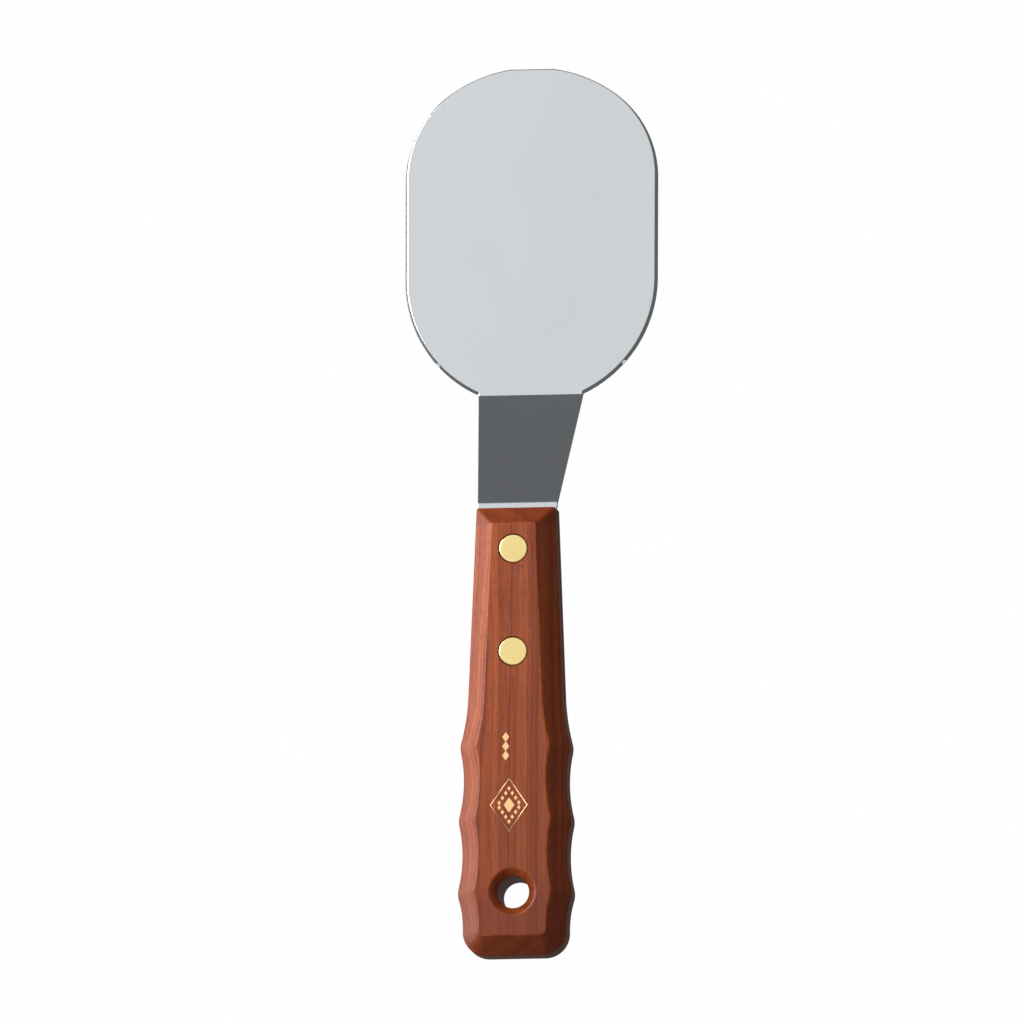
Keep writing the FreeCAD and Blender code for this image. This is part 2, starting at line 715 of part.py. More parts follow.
def make_pieces():
    pieces = [make_blade(), make_handle()]
    for rivet in RIVETS:
        for make, upper in ((make_stud, True), (make_tube, False)):
            piece = make(rivet)
            piece.Placement = rivet_place(rivet, upper)
            pieces.append(piece)
    document.recompute()
    rest = rest_placement(pieces)
    for piece in pieces:
        piece.Placement = rest.multiply(piece.Placement)
    document.recompute()
    return pieces


def check(pieces):
    """Stops before anything is written if any object failed or any shape isn't sound."""
    for item in document.Objects:
        if {"Invalid", "Error"} & set(item.State):
            raise RuntimeError(f"{item.Name} failed: {item.State}")
    for piece in pieces:
        if piece.Shape.isNull() or not piece.Shape.isValid() or len(piece.Shape.Solids) != 1:
            raise RuntimeError(f"{piece.Label} isn't one sound solid")


pieces = make_pieces()
check(pieces)
os.makedirs("parts", exist_ok=True)
for piece in pieces:
    piece.Shape.exportStep(f"parts/{piece.Label}.step")
    box = piece.Shape.optimalBoundingBox(False)
    span = " x ".join(f"{length:.2f}" for length in (box.XLength, box.YLength, box.ZLength))
    print(f"{piece.Label}: {span} mm, {piece.Shape.Volume:.1f} mm3")
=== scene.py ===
# %% [markdown]
# # An offset palette knife
# A palette knife like this one lifts, mixes and spreads thick paint or gesso. Its broad blade,
# its cranked neck and the tang hidden in the handle are one sheet of stainless steel. The
# handle is one block of oiled hardwood with bevelled edges and three finger ridges, and two
# brass cutler's rivets hold the tang in it.
#
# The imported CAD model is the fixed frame: it says how big everything is and where it stands.
# Blender adds what a maker's hand adds, which is eased edges, grain, brushing and polish.

# %% Load the fixed frame
import json
from math import acos, asin, atan2, copysign, cos, degrees, hypot, pi, radians, sin, sqrt, tan

import bmesh
import bpy
from mathutils import Matrix, Vector
from mathutils.geometry import delaunay_2d_cdt


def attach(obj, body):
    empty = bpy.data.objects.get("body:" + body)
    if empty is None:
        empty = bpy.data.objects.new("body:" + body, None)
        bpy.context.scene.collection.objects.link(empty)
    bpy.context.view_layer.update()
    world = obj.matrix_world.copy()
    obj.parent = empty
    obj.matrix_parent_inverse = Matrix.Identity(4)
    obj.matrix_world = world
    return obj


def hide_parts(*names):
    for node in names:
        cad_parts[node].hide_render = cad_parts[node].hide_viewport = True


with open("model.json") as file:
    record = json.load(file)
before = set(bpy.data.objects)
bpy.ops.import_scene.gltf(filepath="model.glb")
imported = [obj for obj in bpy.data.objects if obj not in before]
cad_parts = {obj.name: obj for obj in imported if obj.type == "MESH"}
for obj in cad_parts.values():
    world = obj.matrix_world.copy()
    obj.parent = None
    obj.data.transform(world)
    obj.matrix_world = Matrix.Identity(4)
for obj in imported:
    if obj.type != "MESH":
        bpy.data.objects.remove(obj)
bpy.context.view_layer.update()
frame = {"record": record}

# %% [markdown]
# ## How the knife lies
# The knife rests on its heel bend and on the edge of its butt, so it is tipped a few degrees.
# It is far easier to draw it level, with the handle along Y, and to lay it down at the end.
# The record's hanging hole gives both things that are needed: its axis gives the tilt and its
# middle gives one point to pin the drawing to. All the drawing below is in millimetres, and
# the sizes that more than one piece needs come first.

# %% The drawing's axes and how they lie on the table
MM = 0.001
SHEET = 1.2
TIP_Y = 91.9
NECK_RUN, NECK_RISE = 33.5, 23.0
STUB_LENGTH = 1.5
TANG_LENGTH = 54.0
HANDLE_LENGTH = 125.9
HANG_HOLE_FROM_BUTT = 17.4

MOUTH_Y = -(NECK_RUN + STUB_LENGTH)
TANG_END_Y = MOUTH_Y - TANG_LENGTH
HANDLE_MIDDLE = NECK_RISE + SHEET / 2
BUTT_Y = MOUTH_Y - HANDLE_LENGTH
HANG_HOLE_Y = BUTT_Y + HANG_HOLE_FROM_BUTT

hang_hole = next(m for m in frame["record"]["mounts"] if m["name"] == "hang_hole")
tilt = atan2(-hang_hole["axis"][1], hang_hole["axis"][2])
lay_down = (
    Matrix.Translation(Vector(hang_hole["pos_m"]))
    @ Matrix.Rotation(tilt, 4, "X")
    @ Matrix.Scale(MM, 4)
    @ Matrix.Translation(Vector((0, -HANG_HOLE_Y, -HANDLE_MIDDLE)))
)
print("tilt, degrees:", round(degrees(tilt), 3))
print("blade tip on the table, mm:", [round(1000 * c, 2) for c in lay_down @ Vector((0, TIP_Y, 0))])

# %% [markdown]
# ## Finishes
# Every finish is a network of nodes. Two small classes keep the networks readable. A Wire is
# what comes out of a node, and it can be added, multiplied and so on like a number, which
# quietly makes Math nodes. A Bench is the tree being built, and its add method makes any
# other node from its type, its settings and what feeds its sockets. The same bench serves
# materials and Geometry Nodes, because both are node trees.

# %% A wire that can be added and multiplied, and the bench it lies on
class Wire:
    """What comes out of one socket."""

    def __init__(self, bench, socket):
        self.bench = bench
        self.socket = socket

    def math(self, operation, *others):
        feeds = dict(enumerate((self, *others)))
        return self.bench.add("ShaderNodeMath", {"operation": operation}, feeds)

    def __add__(self, other):
        return self.math("ADD", other)

    __radd__ = __add__

    def __sub__(self, other):
        return self.math("SUBTRACT", other)

    def __rsub__(self, other):
        return (self * -1) + other

    def __mul__(self, other):
        return self.math("MULTIPLY", other)

    __rmul__ = __mul__

    def __truediv__(self, other):
        return self.math("DIVIDE", other)

    def __pow__(self, other):
        return self.math("POWER", other)

    def between(self, low, high):
        """0 below low and 1 above high, with a smooth slope between them."""
        settings = {"interpolation_type": "SMOOTHSTEP"}
        return self.bench.add("ShaderNodeMapRange", settings, {0: self, 1: low, 2: high})


class Bench:
    """A node tree under construction."""

    def __init__(self, tree):
        self.tree = tree
        tree.nodes.clear()

    def add(self, kind, settings=None, feeds=None, out=0):
        node = self.tree.nodes.new(kind)
        for name, value in (settings or {}).items():
            if name == "stops":
                self.set_stops(node.color_ramp, value)
            else:
                setattr(node, name, value)
        for where, value in (feeds or {}).items():
            if isinstance(value, Wire):
                self.tree.links.new(value.socket, node.inputs[where])
            else:
                node.inputs[where].default_value = value
        return Wire(self, node.outputs[out]) if len(node.outputs) else node

    @staticmethod
    def set_stops(ramp, stops):
        while len(ramp.elements) < len(stops):
            ramp.elements.new(1)
        for element, (place, colour) in zip(ramp.elements, stops):
            element.position = place
            element.color = (*colour, 1)

    def blend(self, share, first, second, kind="MIX"):
        """A colour between two others, or one worked on by the other."""
        settings = {"data_type": "RGBA", "blend_type": kind}
        return self.add("ShaderNodeMix", settings, {0: share, 6: first, 7: second}, out=2)


def new_finish(name):
    finish = bpy.data.materials.new(name)
    finish.use_nodes = True
    return finish, Bench(finish.node_tree)


def rgb(red, green, blue):
    return (red, green, blue, 1)


print("operators a wire takes:", "+ - * / **")


# %% [markdown]
# ### Coordinates that belong to the knife
# A procedural pattern needs to know where on the object it is. Object coordinates are the
# table's, in metres, so a Mapping node turns them back to the drawing's: millimetres, with Y
# along the handle and zero in the middle of the handle's mouth. The grain then runs along the
# wood and cuts through its bevels as real grain does, because it is a solid pattern.

# %% Knife coordinates
def knife_place(bench):
    """Object coordinates as millimetres from the middle of the handle's mouth."""
    turned_back = Matrix.Rotation(-tilt, 3, "X")
    pinned = Vector((0, HANG_HOLE_Y - MOUTH_Y, 0))
    shift = pinned - turned_back @ (Vector(hang_hole["pos_m"]) / MM)
    where = bench.add("ShaderNodeTexCoord", out=3)
    feeds = {0: where, 1: shift, 2: (-tilt, 0, 0), 3: (1 / MM,) * 3}
    return bench.add("ShaderNodeMapping", {"vector_type": "POINT"}, feeds)


def stretched(bench, place, along):
    """The same coordinates with each axis multiplied, which squeezes a pattern along it."""
    return bench.add("ShaderNodeVectorMath", {"operation": "MULTIPLY"}, {0: place, 1: along})


def speckle(bench, place, scale, detail=2, roughness=0.5, distortion=0):
    feeds = {"Vector": place, "Scale": scale, "Detail": detail}
    feeds |= {"Roughness": roughness, "Distortion": distortion}
    return bench.add("ShaderNodeTexNoise", {}, feeds)


print("the hanging hole is this far behind the mouth, mm:", round(MOUTH_Y - HANG_HOLE_Y, 2))


# %% [markdown]
# ### Oiled hardwood
# The handle is a reddish-brown tropical wood. Cut along the trunk, its growth rings show as
# long bands of lighter and darker brown, and where a bevel cuts across them they bend into
# arches. Painting stripes on each face would give the wrong pattern on the bevels, so the
# rings are made as they grow: the distance from a pith that lies outside the block, made
# uneven by a slow noise, is the tree's age at that point, and its bands come from that. Short dark
# pores and fine fibres are noises drawn out along the grain, and they also dent the surface.

# %% The wood's grain
PITH_X, PITH_Z = -17, 34


def wood_grain(bench, place, across, height):
    """The wires for the rings, fibres, pores and overall tone, and how far the grain sways."""
    drift = speckle(bench, stretched(bench, place, (0.05, 0.012, 0.05)), 1, 3) - 0.5
    sway = speckle(bench, stretched(bench, place, (0.16, 0.02, 0.16)), 1, 2) - 0.5
    side = across - PITH_X + drift * 5
    depth = height - PITH_Z + drift * 4
    age = (side * side + depth * depth) ** 0.5 + sway * 1.6

    one_way = {"noise_dimensions": "1D"}
    broad = bench.add("ShaderNodeTexNoise", one_way, {"W": age, "Scale": 0.42, "Detail": 3})
    feeds = {"W": age, "Scale": 1.5, "Detail": 2, "Roughness": 0.6}
    ring = bench.add("ShaderNodeTexNoise", one_way, feeds)
    fibre = speckle(bench, stretched(bench, place, (4.2, 0.11, 4.2)), 1, 4, 0.62)
    pore = speckle(bench, stretched(bench, place, (7, 0.42, 7)), 1, 1, 0.4)
    pores = pore.between(0.63, 0.72)
    mottle = speckle(bench, stretched(bench, place, (0.22, 0.06, 0.22)), 1, 2)
    tone = broad * 0.5 + ring * 0.46 + fibre * 0.5 + mottle * 0.12 - 0.29
    return ring, fibre, pores, tone, sway


print("distance from the pith to the grip's middle, mm:", round(hypot(PITH_X, PITH_Z - HANDLE_MIDDLE), 1))

# %% [markdown]
# ### The wood's colours
# The tone picks a brown from a ramp. On top of that come the things that a slow pattern
# leaves out: one dark streak along the middle, end grain that drinks more oil at the mouth, a
# darker butt, and edges that handling has rubbed paler. The right-hand side, away from the light
# on the left, is darkened with painted shade.

# %% The wood finish
def wood_finish():
    finish, bench = new_finish("oiled_hardwood")
    place = knife_place(bench)
    across = bench.add("ShaderNodeSeparateXYZ", feeds={0: place})
    along = Wire(bench, across.socket.node.outputs[1])
    height = Wire(bench, across.socket.node.outputs[2])
    ring, fibre, pores, tone, sway = wood_grain(bench, place, across, height)

    stops = [
        (0.2, (0.12, 0.015, 0.003)),
        (0.38, (0.24, 0.036, 0.007)),
        (0.52, (0.36, 0.068, 0.013)),
        (0.66, (0.45, 0.1, 0.022)),
        (0.82, (0.54, 0.15, 0.04)),
    ]
    colour = bench.add("ShaderNodeValToRGB", {"stops": stops}, {0: tone})
    colour = bench.blend(pores * 0.75, colour, rgb(0.09, 0.012, 0.003))
    streak_place = across + sway * 0.8
    streak = streak_place.between(-0.7, 0.5) * (1 - streak_place.between(0.5, 1.7))
    # painted shade: the right half of the grip, with its right bevel and wall, turns towards the streak's
    # dark brown because it faces away from the light on the left
    painted_shade_right = streak_place.between(-2, 5)
    colour = bench.blend(streak * 0.3 + painted_shade_right * 0.36, colour, rgb(0.17, 0.026, 0.006))
    behind = along * -1
    butt_shade = behind.between(40, 105) * 0.3 + behind.between(100, 116) * 0.38
    colour = bench.blend(butt_shade, colour, rgb(0.17, 0.028, 0.007))
    end_grain = along.between(-5.4, -4.6)
    colour = bench.blend(end_grain * 0.5, colour, rgb(0.17, 0.024, 0.005))
    wear = bench.add("ShaderNodeAttribute", {"attribute_name": "edge_wear"}, out=2)
    rubbed = wear * speckle(bench, place, 0.5, 3).between(0.3, 0.75)
    colour = bench.blend(rubbed * 0.3, colour, rgb(0.52, 0.14, 0.04))

    gloss = 0.3 + fibre * 0.1 + pores * 0.2 - rubbed * 0.06
    dents = fibre * 0.5 - pores * 0.9 + ring * 0.3
    bump = bench.add(
        "ShaderNodeBump", {}, {"Strength": 0.35, "Distance": 0.00012, "Height": dents}
    )
    feeds = {"Base Color": colour, "Roughness": gloss, "Normal": bump, "Specular IOR Level": 0.3}
    skin = bench.add("ShaderNodeBsdfPrincipled", {}, feeds)
    bench.add("ShaderNodeOutputMaterial", {}, {0: skin})
    return finish


wood = wood_finish()
print("wood nodes:", len(wood.node_tree.nodes))

# %% [markdown]
# ### Satin stainless steel
# The sheet is rolled and then brushed finely along its length, so it shines evenly and keeps a
# soft, slightly drawn-out reflection. A metal's colour is all reflection, so what matters is
# the roughness: it varies a little with the brushing and with faint rubbed patches, and a
# very shallow bump carries the same fine lines. The ground edge is left a little brighter.

# %% The steel finish
def steel_finish():
    finish, bench = new_finish("satin_stainless")
    place = knife_place(bench)
    brushing = speckle(bench, stretched(bench, place, (9, 0.07, 9)), 1, 3, 0.6)
    patches = speckle(bench, stretched(bench, place, (0.05, 0.03, 0.05)), 1, 3)
    scuffs = speckle(bench, stretched(bench, place, (1.2, 0.3, 1.2)), 1, 4, 0.7).between(0.55, 0.8)
    colour = bench.blend(patches, rgb(0.6, 0.622, 0.64), rgb(0.63, 0.65, 0.665))
    colour = bench.blend(brushing * 0.12, colour, rgb(0.5, 0.52, 0.54))
    ground = bench.add("ShaderNodeAttribute", {"attribute_name": "edge_wear"}, out=2)
    colour = bench.blend(ground * 0.3, colour, rgb(0.72, 0.74, 0.75))
    gloss = 0.17 + brushing * 0.08 + patches * 0.04 + scuffs * 0.03 - ground * 0.03
    bump = bench.add(
        "ShaderNodeBump", {}, {"Strength": 0.12, "Distance": 0.00002, "Height": brushing}
    )
    feeds = {"Base Color": colour, "Roughness": gloss, "Normal": bump}
    feeds |= {"Metallic": 1.0}
    skin = bench.add("ShaderNodeBsdfPrincipled", {}, feeds)
    bench.add("ShaderNodeOutputMaterial", {}, {0: skin})
    return finish


steel = steel_finish()
print("steel nodes:", len(steel.node_tree.nodes))

# %% [markdown]
# ### Polished brass and stamped foil
# The rivet heads are filed flush with the wood and polished with it, which leaves faint lines
# across the middle and a brighter rounded rim. The foil mark on the grip is a very thin layer
# of gold colour pressed into the wood, a little patchy where it has rubbed away. Both are one
# recipe with different numbers, so one function makes them.

# %% The brass and foil finishes
def yellow_metal(name, bright, dull, gloss_base, polish_lines):
    finish, bench = new_finish(name)
    place = knife_place(bench)
    lines = speckle(bench, stretched(bench, place, polish_lines), 1, 3, 0.6)
    cloud = speckle(bench, place, 0.6, 3)
    rim = bench.add("ShaderNodeAttribute", {"attribute_name": "edge_wear"}, out=2)
    colour = bench.blend(lines * 0.5 + cloud * 0.5, dull, bright)
    colour = bench.blend(rim * 0.5, colour, bright)
    gloss = gloss_base + lines * 0.12 + cloud * 0.06
    bump = bench.add(
        "ShaderNodeBump", {}, {"Strength": 0.15, "Distance": 0.00003, "Height": lines}
    )
    feeds = {"Base Color": colour, "Roughness": gloss, "Normal": bump, "Metallic": 1.0}
    skin = bench.add("ShaderNodeBsdfPrincipled", {}, feeds)
    bench.add("ShaderNodeOutputMaterial", {}, {0: skin})
    return finish


brass = yellow_metal("polished_brass", rgb(0.93, 0.75, 0.34), rgb(0.79, 0.62, 0.23), 0.14, (3, 0.5, 3))
foil = yellow_metal("gold_foil", rgb(0.95, 0.6, 0.3), rgb(0.75, 0.42, 0.2), 0.3, (2, 2, 2))
print("brass nodes:", len(brass.node_tree.nodes), "foil nodes:", len(foil.node_tree.nodes))

# %% [markdown]
# ## Drawing an outline
# The blade and the handle are both flat patterns given thickness, and both are bounded by
# lines and arcs that flow into each other. A pattern is kept as a list of marks. Each mark has
# its place and the way it moves when the outline is drawn again further in, so that a
# rounded or bevelled edge is simply the same outline repeated at several insets and heights.
# Lines and arcs are walked clockwise, from the tip or the mouth down the right-hand side.

# %% Lines and arcs made of marks
def walk_line(start, end, steps, include_end=False):
    run, rise = end[0] - start[0], end[1] - start[1]
    length = hypot(run, rise)
    inward = (rise / length, -run / length)
    count = steps + (1 if include_end else 0)
    return [
        (start[0] + run * n / steps, start[1] + rise * n / steps, *inward) for n in range(count)
    ]


def walk_arc(centre, radius, start, end, steps):
    """Marks round an arc between two angles in degrees. Falling angles bulge outwards."""
    marks = []
    towards = -1 if end < start else 1
    for n in range(steps):
        angle = radians(start + (end - start) * n / steps)
        way = (cos(angle), sin(angle))
        place = (centre[0] + radius * way[0], centre[1] + radius * way[1])
        marks.append((*place, way[0] * towards, way[1] * towards))
    return marks


def angle_of(centre, point):
    return degrees(atan2(point[1] - centre[1], point[0] - centre[0]))


def both_sides(marks):
    """A right-hand half, from the middle line to the middle line, closed by its mirror image."""
    left = [(-x, y, -across, along) for x, y, across, along in reversed(marks[1:-1])]
    return marks + left


print("marks on a quarter circle:", len(walk_arc((0, 0), 1, 90, 0, 8)))


# %% [markdown]
# ## Skinning
# Blender's bmesh makes a surface face by face. Loops with the same number of points are
# joined by quads, like the hoops of a barrel. A flat face with holes in it is filled by a
# triangulation that keeps its borders, and the triangles that fall inside a hole are left out.

# %% Loops, rings, quads and flat plates
def add_loop(shape, points, wear_layer, wear=0.0):
    loop = [shape.verts.new(point) for point in points]
    for corner in loop:
        corner[wear_layer] = wear
    return loop


def join_loops(shape, first, second):
    """Quads between two closed loops."""
    count = len(first)
    for n in range(count):
        m = (n + 1) % count
        shape.faces.new((first[n], first[m], second[m], second[n]))


def ring_of(shape, centre, radius, height, count, wear_layer, wear=0.0):
    points = []
    for n in range(count):
        angle = 2 * pi * n / count
        points.append((centre[0] + radius * cos(angle), centre[1] + radius * sin(angle), height))
    return add_loop(shape, points, wear_layer, wear)


def fill_plate(shape, border, holes):
    """Triangles over a level border. One with all its corners on one hole's ring is left out."""
    corners, flat, edges, owner = [], [], [], []
    for number, loop in enumerate([border, *holes]):
        start = len(corners)
        edges += [(start + n, start + (n + 1) % len(loop)) for n in range(len(loop))]
        corners += loop
        flat += [corner.co.xy for corner in loop]
        owner += [number] * len(loop)
    _, _, triangles, sources, _, _ = delaunay_2d_cdt(flat, edges, [], 1, 1e-6)
    for triangle in triangles:
        trio = [sources[n][0] for n in triangle]
        owners = {owner[n] for n in trio}
        if len(owners) > 1 or owners == {0}:
            shape.faces.new([corners[n] for n in trio])


def finish_mesh(shape, name, material, sharp_over=40):
    """The drawing laid on the table as a piece that rides on the knife's one body."""
    bmesh.ops.remove_doubles(shape, verts=shape.verts, dist=1e-5)
    bmesh.ops.transform(shape, matrix=lay_down, verts=shape.verts)
    bmesh.ops.recalc_face_normals(shape, faces=shape.faces)
    mesh = bpy.data.meshes.new(name)
    shape.to_mesh(mesh)
    open_edges = sum(1 for edge in shape.edges if len(edge.link_faces) != 2)
    shape.free()
    mesh.polygons.foreach_set("use_smooth", [True] * len(mesh.polygons))
    mesh.set_sharp_from_angle(angle=radians(sharp_over))
    mesh.materials.append(material)
    piece = bpy.data.objects.new(name, mesh)
    bpy.context.scene.collection.objects.link(piece)
    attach(piece, "root")
    print(name, "faces:", len(mesh.polygons), "open edges:", open_edges)
    return piece


def new_shape():
    shape = bmesh.new()
    return shape, shape.verts.layers.float.new("edge_wear")


print("corner layer that every piece carries: edge_wear")


# %% [markdown]
# ## The handle
# The handle starts as a flat board sawn to a plan: a straight waist that widens slowly, three
# finger ridges with hollows between them, and a square butt with rounded corners. Then every
# edge of both faces gets a broad bevel, and sanding eases each corner that a tool left. A
# subdivided block would blur these facets, so the plan is drawn exactly and repeated inwards
# and upwards along a softened bevel.

# %% The plan of the handle
WAIST_TAPER = 2.35
MOUTH_HALF = 11.1
MITRE_ROUND = 0.7
CREST_RADIUS = 6.5
CREST_PITCH = 20.6
LAST_CREST_FROM_BUTT = 17.4
CREST_HALVES = (15.6, 16.0, 16.25)
HOLLOW_RADII = (62.0, 40.0, 40.0, 28.0)
TAIL_HALF = 14.6
BUTT_ROUND = 6.8
KERF_CLEARANCE = 0.6
KERF_END_Y = TANG_END_Y - KERF_CLEARANCE


def hollow_centres():
    """The centres of the four hollows, which lie outside the wood on the right."""
    last = BUTT_Y + LAST_CREST_FROM_BUTT
    crests = [(half, last + CREST_PITCH * (2 - n)) for n, half in enumerate(CREST_HALVES)]
    taper = radians(WAIST_TAPER)
    way, out = (sin(taper), -cos(taper)), (cos(taper), sin(taper))
    corner = (MOUTH_HALF, MOUTH_Y)

    def tangent_centre(start, way, out, through, radius):
        across = sum((through[i] - start[i]) * out[i] for i in (0, 1))
        along = sum((through[i] - start[i]) * way[i] for i in (0, 1))
        reach = along - sqrt(radius**2 - (radius - across) ** 2)
        return tuple(start[i] + way[i] * reach + out[i] * radius for i in (0, 1))

    centres = [tangent_centre(corner, way, out, crests[0], HOLLOW_RADII[0])]
    for before, after, radius in zip(crests, crests[1:], HOLLOW_RADII[1:]):
        chord = hypot(after[0] - before[0], after[1] - before[1])
        off = sqrt(radius**2 - chord**2 / 4) / chord
        middle = [(before[i] + after[i]) / 2 for i in (0, 1)]
        centres.append(
            (middle[0] - (after[1] - before[1]) * off, middle[1] + (after[0] - before[0]) * off)
        )
    tail = (TAIL_HALF, BUTT_Y)
    centres.append(tangent_centre(tail, (0, 1), (1, 0), crests[2], HOLLOW_RADII[3]))
    return centres


def grip_marks(centres, arrive):
    """The hollows and the ridges between them, from the angle at which the waist arrives."""
    marks = []
    for n, (centre, radius) in enumerate(zip(centres, HOLLOW_RADII)):
        if n == 3:
            leave = 180
        else:
            after, gap = centres[n + 1], radius + CREST_RADIUS
            apart = hypot(after[0] - centre[0], after[1] - centre[1])
            other = HOLLOW_RADII[n + 1] + CREST_RADIUS
            bend = acos((gap**2 + apart**2 - other**2) / (2 * gap * apart))
            leave = angle_of(centre, after) % 360 - degrees(bend)
            heading = radians(leave)
            ridge = (centre[0] + gap * cos(heading), centre[1] + gap * sin(heading))
        steps = 26
        if n == 0:
            split = 180 + degrees(asin((centre[1] - KERF_END_Y) / radius))
            marks += walk_arc(centre, radius, arrive, split, 8)
            arrive = split
        marks += walk_arc(centre, radius, arrive, leave, steps)
        if n < 3:
            leaving = angle_of(centres[n + 1], ridge) % 360
            marks += walk_arc(ridge, CREST_RADIUS, leave - 180, leaving - 180, 18)
            arrive = leaving
    return marks


def handle_marks():
    """Half of the plan, from the middle of the mouth to the middle of the butt."""
    taper = radians(WAIST_TAPER)
    way, out = (sin(taper), -cos(taper)), (cos(taper), sin(taper))
    mouth_in, waist_in = (0, -1), (-out[0], -out[1])
    turn = radians(90 - WAIST_TAPER)
    trim = MITRE_ROUND * tan(turn / 2)
    meet = 1 + sum(mouth_in[i] * waist_in[i] for i in (0, 1))
    mitre = tuple((mouth_in[i] + waist_in[i]) / meet for i in (0, 1))

    marks = []
    reach = MOUTH_HALF - trim
    for n in range(12):
        share = n / 12
        marks.append((reach * share, MOUTH_Y, mitre[0] * share, -1))
    centre = (reach, MOUTH_Y - MITRE_ROUND)
    for x, y, _, _ in walk_arc(centre, MITRE_ROUND, 90, WAIST_TAPER, 6):
        marks.append((x, y, *mitre))

    centres = hollow_centres()
    start = (MOUTH_HALF + way[0] * trim, MOUTH_Y + way[1] * trim)
    first = centres[0]
    end = (first[0] - out[0] * HOLLOW_RADII[0], first[1] - out[1] * HOLLOW_RADII[0])
    slide = sum((mitre[i] - waist_in[i]) * way[i] for i in (0, 1))
    for n, (x, y, nx, ny) in enumerate(walk_line(start, end, 24)):
        share = 1 - n / 24
        marks.append((x, y, nx + way[0] * slide * share, ny + way[1] * slide * share))

    marks += grip_marks(centres, angle_of(first, end) % 360)
    tail_top = centres[3][1]
    marks += walk_line((TAIL_HALF, tail_top), (TAIL_HALF, BUTT_Y + BUTT_ROUND), 4)
    centre = (TAIL_HALF - BUTT_ROUND, BUTT_Y + BUTT_ROUND)
    marks += walk_arc(centre, BUTT_ROUND, 0, -90, 16)
    marks += walk_line((TAIL_HALF - BUTT_ROUND, BUTT_Y), (0, BUTT_Y), 8, include_end=True)
    return marks


handle_plan = both_sides(handle_marks())
print("handle marks:", len(handle_plan))
print("widest, mm:", round(2 * max(mark[0] for mark in handle_plan), 2))

# %% [markdown]
# ### The eased bevel
# Seen in section, the handle's side stands upright, leans in at 45 degrees for the bevel and
# lies flat on top. Where two of those meet, sanding leaves a small radius. The section is a
# list of insets and heights, with a mark of how worn each level is, and one extra level just
# inside the flat face keeps that face looking flat.

# %% The section of the bevel and of the holes
HANDLE_HALF_THICKNESS = 8.5
HANDLE_BEVEL = 5.05
SANDED_RADIUS = 0.9
KERF_HALF = SHEET / 2


def eased_corner(corner, before, after, radius, steps=4):
    """Points round a sanded corner of a section, between the lines to two neighbours."""
    corner, before, after = (Vector(p) for p in (corner, before, after))
    ways = [(before - corner).normalized(), (after - corner).normalized()]
    half_turn = (pi - ways[0].angle(ways[1])) / 2
    centre = corner + (ways[0] + ways[1]).normalized() * (radius / cos(half_turn))
    first = corner + ways[0] * (radius * tan(half_turn)) - centre
    turn = copysign(2 * half_turn, ways[0].x * ways[1].y - ways[0].y * ways[1].x)
    spokes = [first @ Matrix.Rotation(turn * n / steps, 2) for n in range(steps + 1)]
    return [tuple(centre + spoke) for spoke in spokes]


def bevel_section():
    top = HANDLE_HALF_THICKNESS
    low, high = (0, top - HANDLE_BEVEL), (HANDLE_BEVEL, top)
    section = [(0, KERF_HALF, 0.4), (0, KERF_HALF + 0.4, 0)]
    for corner, before, after in ((low, (0, 0), high), (high, low, (9, top))):
        eased = eased_corner(corner, before, after, SANDED_RADIUS)
        section += [(inset, height, 1 if 0 < n < 4 else 0.35) for n, (inset, height) in enumerate(eased)]
    inset = section[-1][0]
    section.append((inset + 0.12, top, 0))
    return section


def hang_hole_section():
    """Radius and height down the upper half of the hanging hole, whose mouth is eased."""
    top, bore, ease = HANDLE_HALF_THICKNESS, 4.45, 2.0
    rim, throat = (bore + ease, top), (bore, top - ease)
    section = [(bore + ease + 0.62, top, 0)]
    section += [(*p, 0.8) for p in eased_corner(rim, (20, top), throat, 1.2, 5)]
    section += [(*p, 0.2) for p in eased_corner(throat, rim, (bore, 0), 1.2, 5)]
    return section


print("levels of the bevel:", len(bevel_section()), "and of the hole:", len(hang_hole_section()))

# %% [markdown]
# ### One half of the handle
# A board with a slot sawn into it is two equal halves that meet behind the slot. Drawing one
# half and using it twice, once turned over, keeps them equal. Each half has the outside
# bevel, the flat face with its three openings, the stepped seats that the rivets' heads sink
# into, and the inner face that the tang lies against.

# %% Half of the handle, above or below the saw kerf
RIVETS_FROM_MOUTH = (12.25, 41.1)
RIVET_YS = tuple(MOUTH_Y - far for far in RIVETS_FROM_MOUTH)
RIVET_HEAD_RADIUS = 4.05
RIVET_HEAD_THICKNESS = 1.0
SEAT_GAP = 0.12
BORE_RADIUS = 2.45


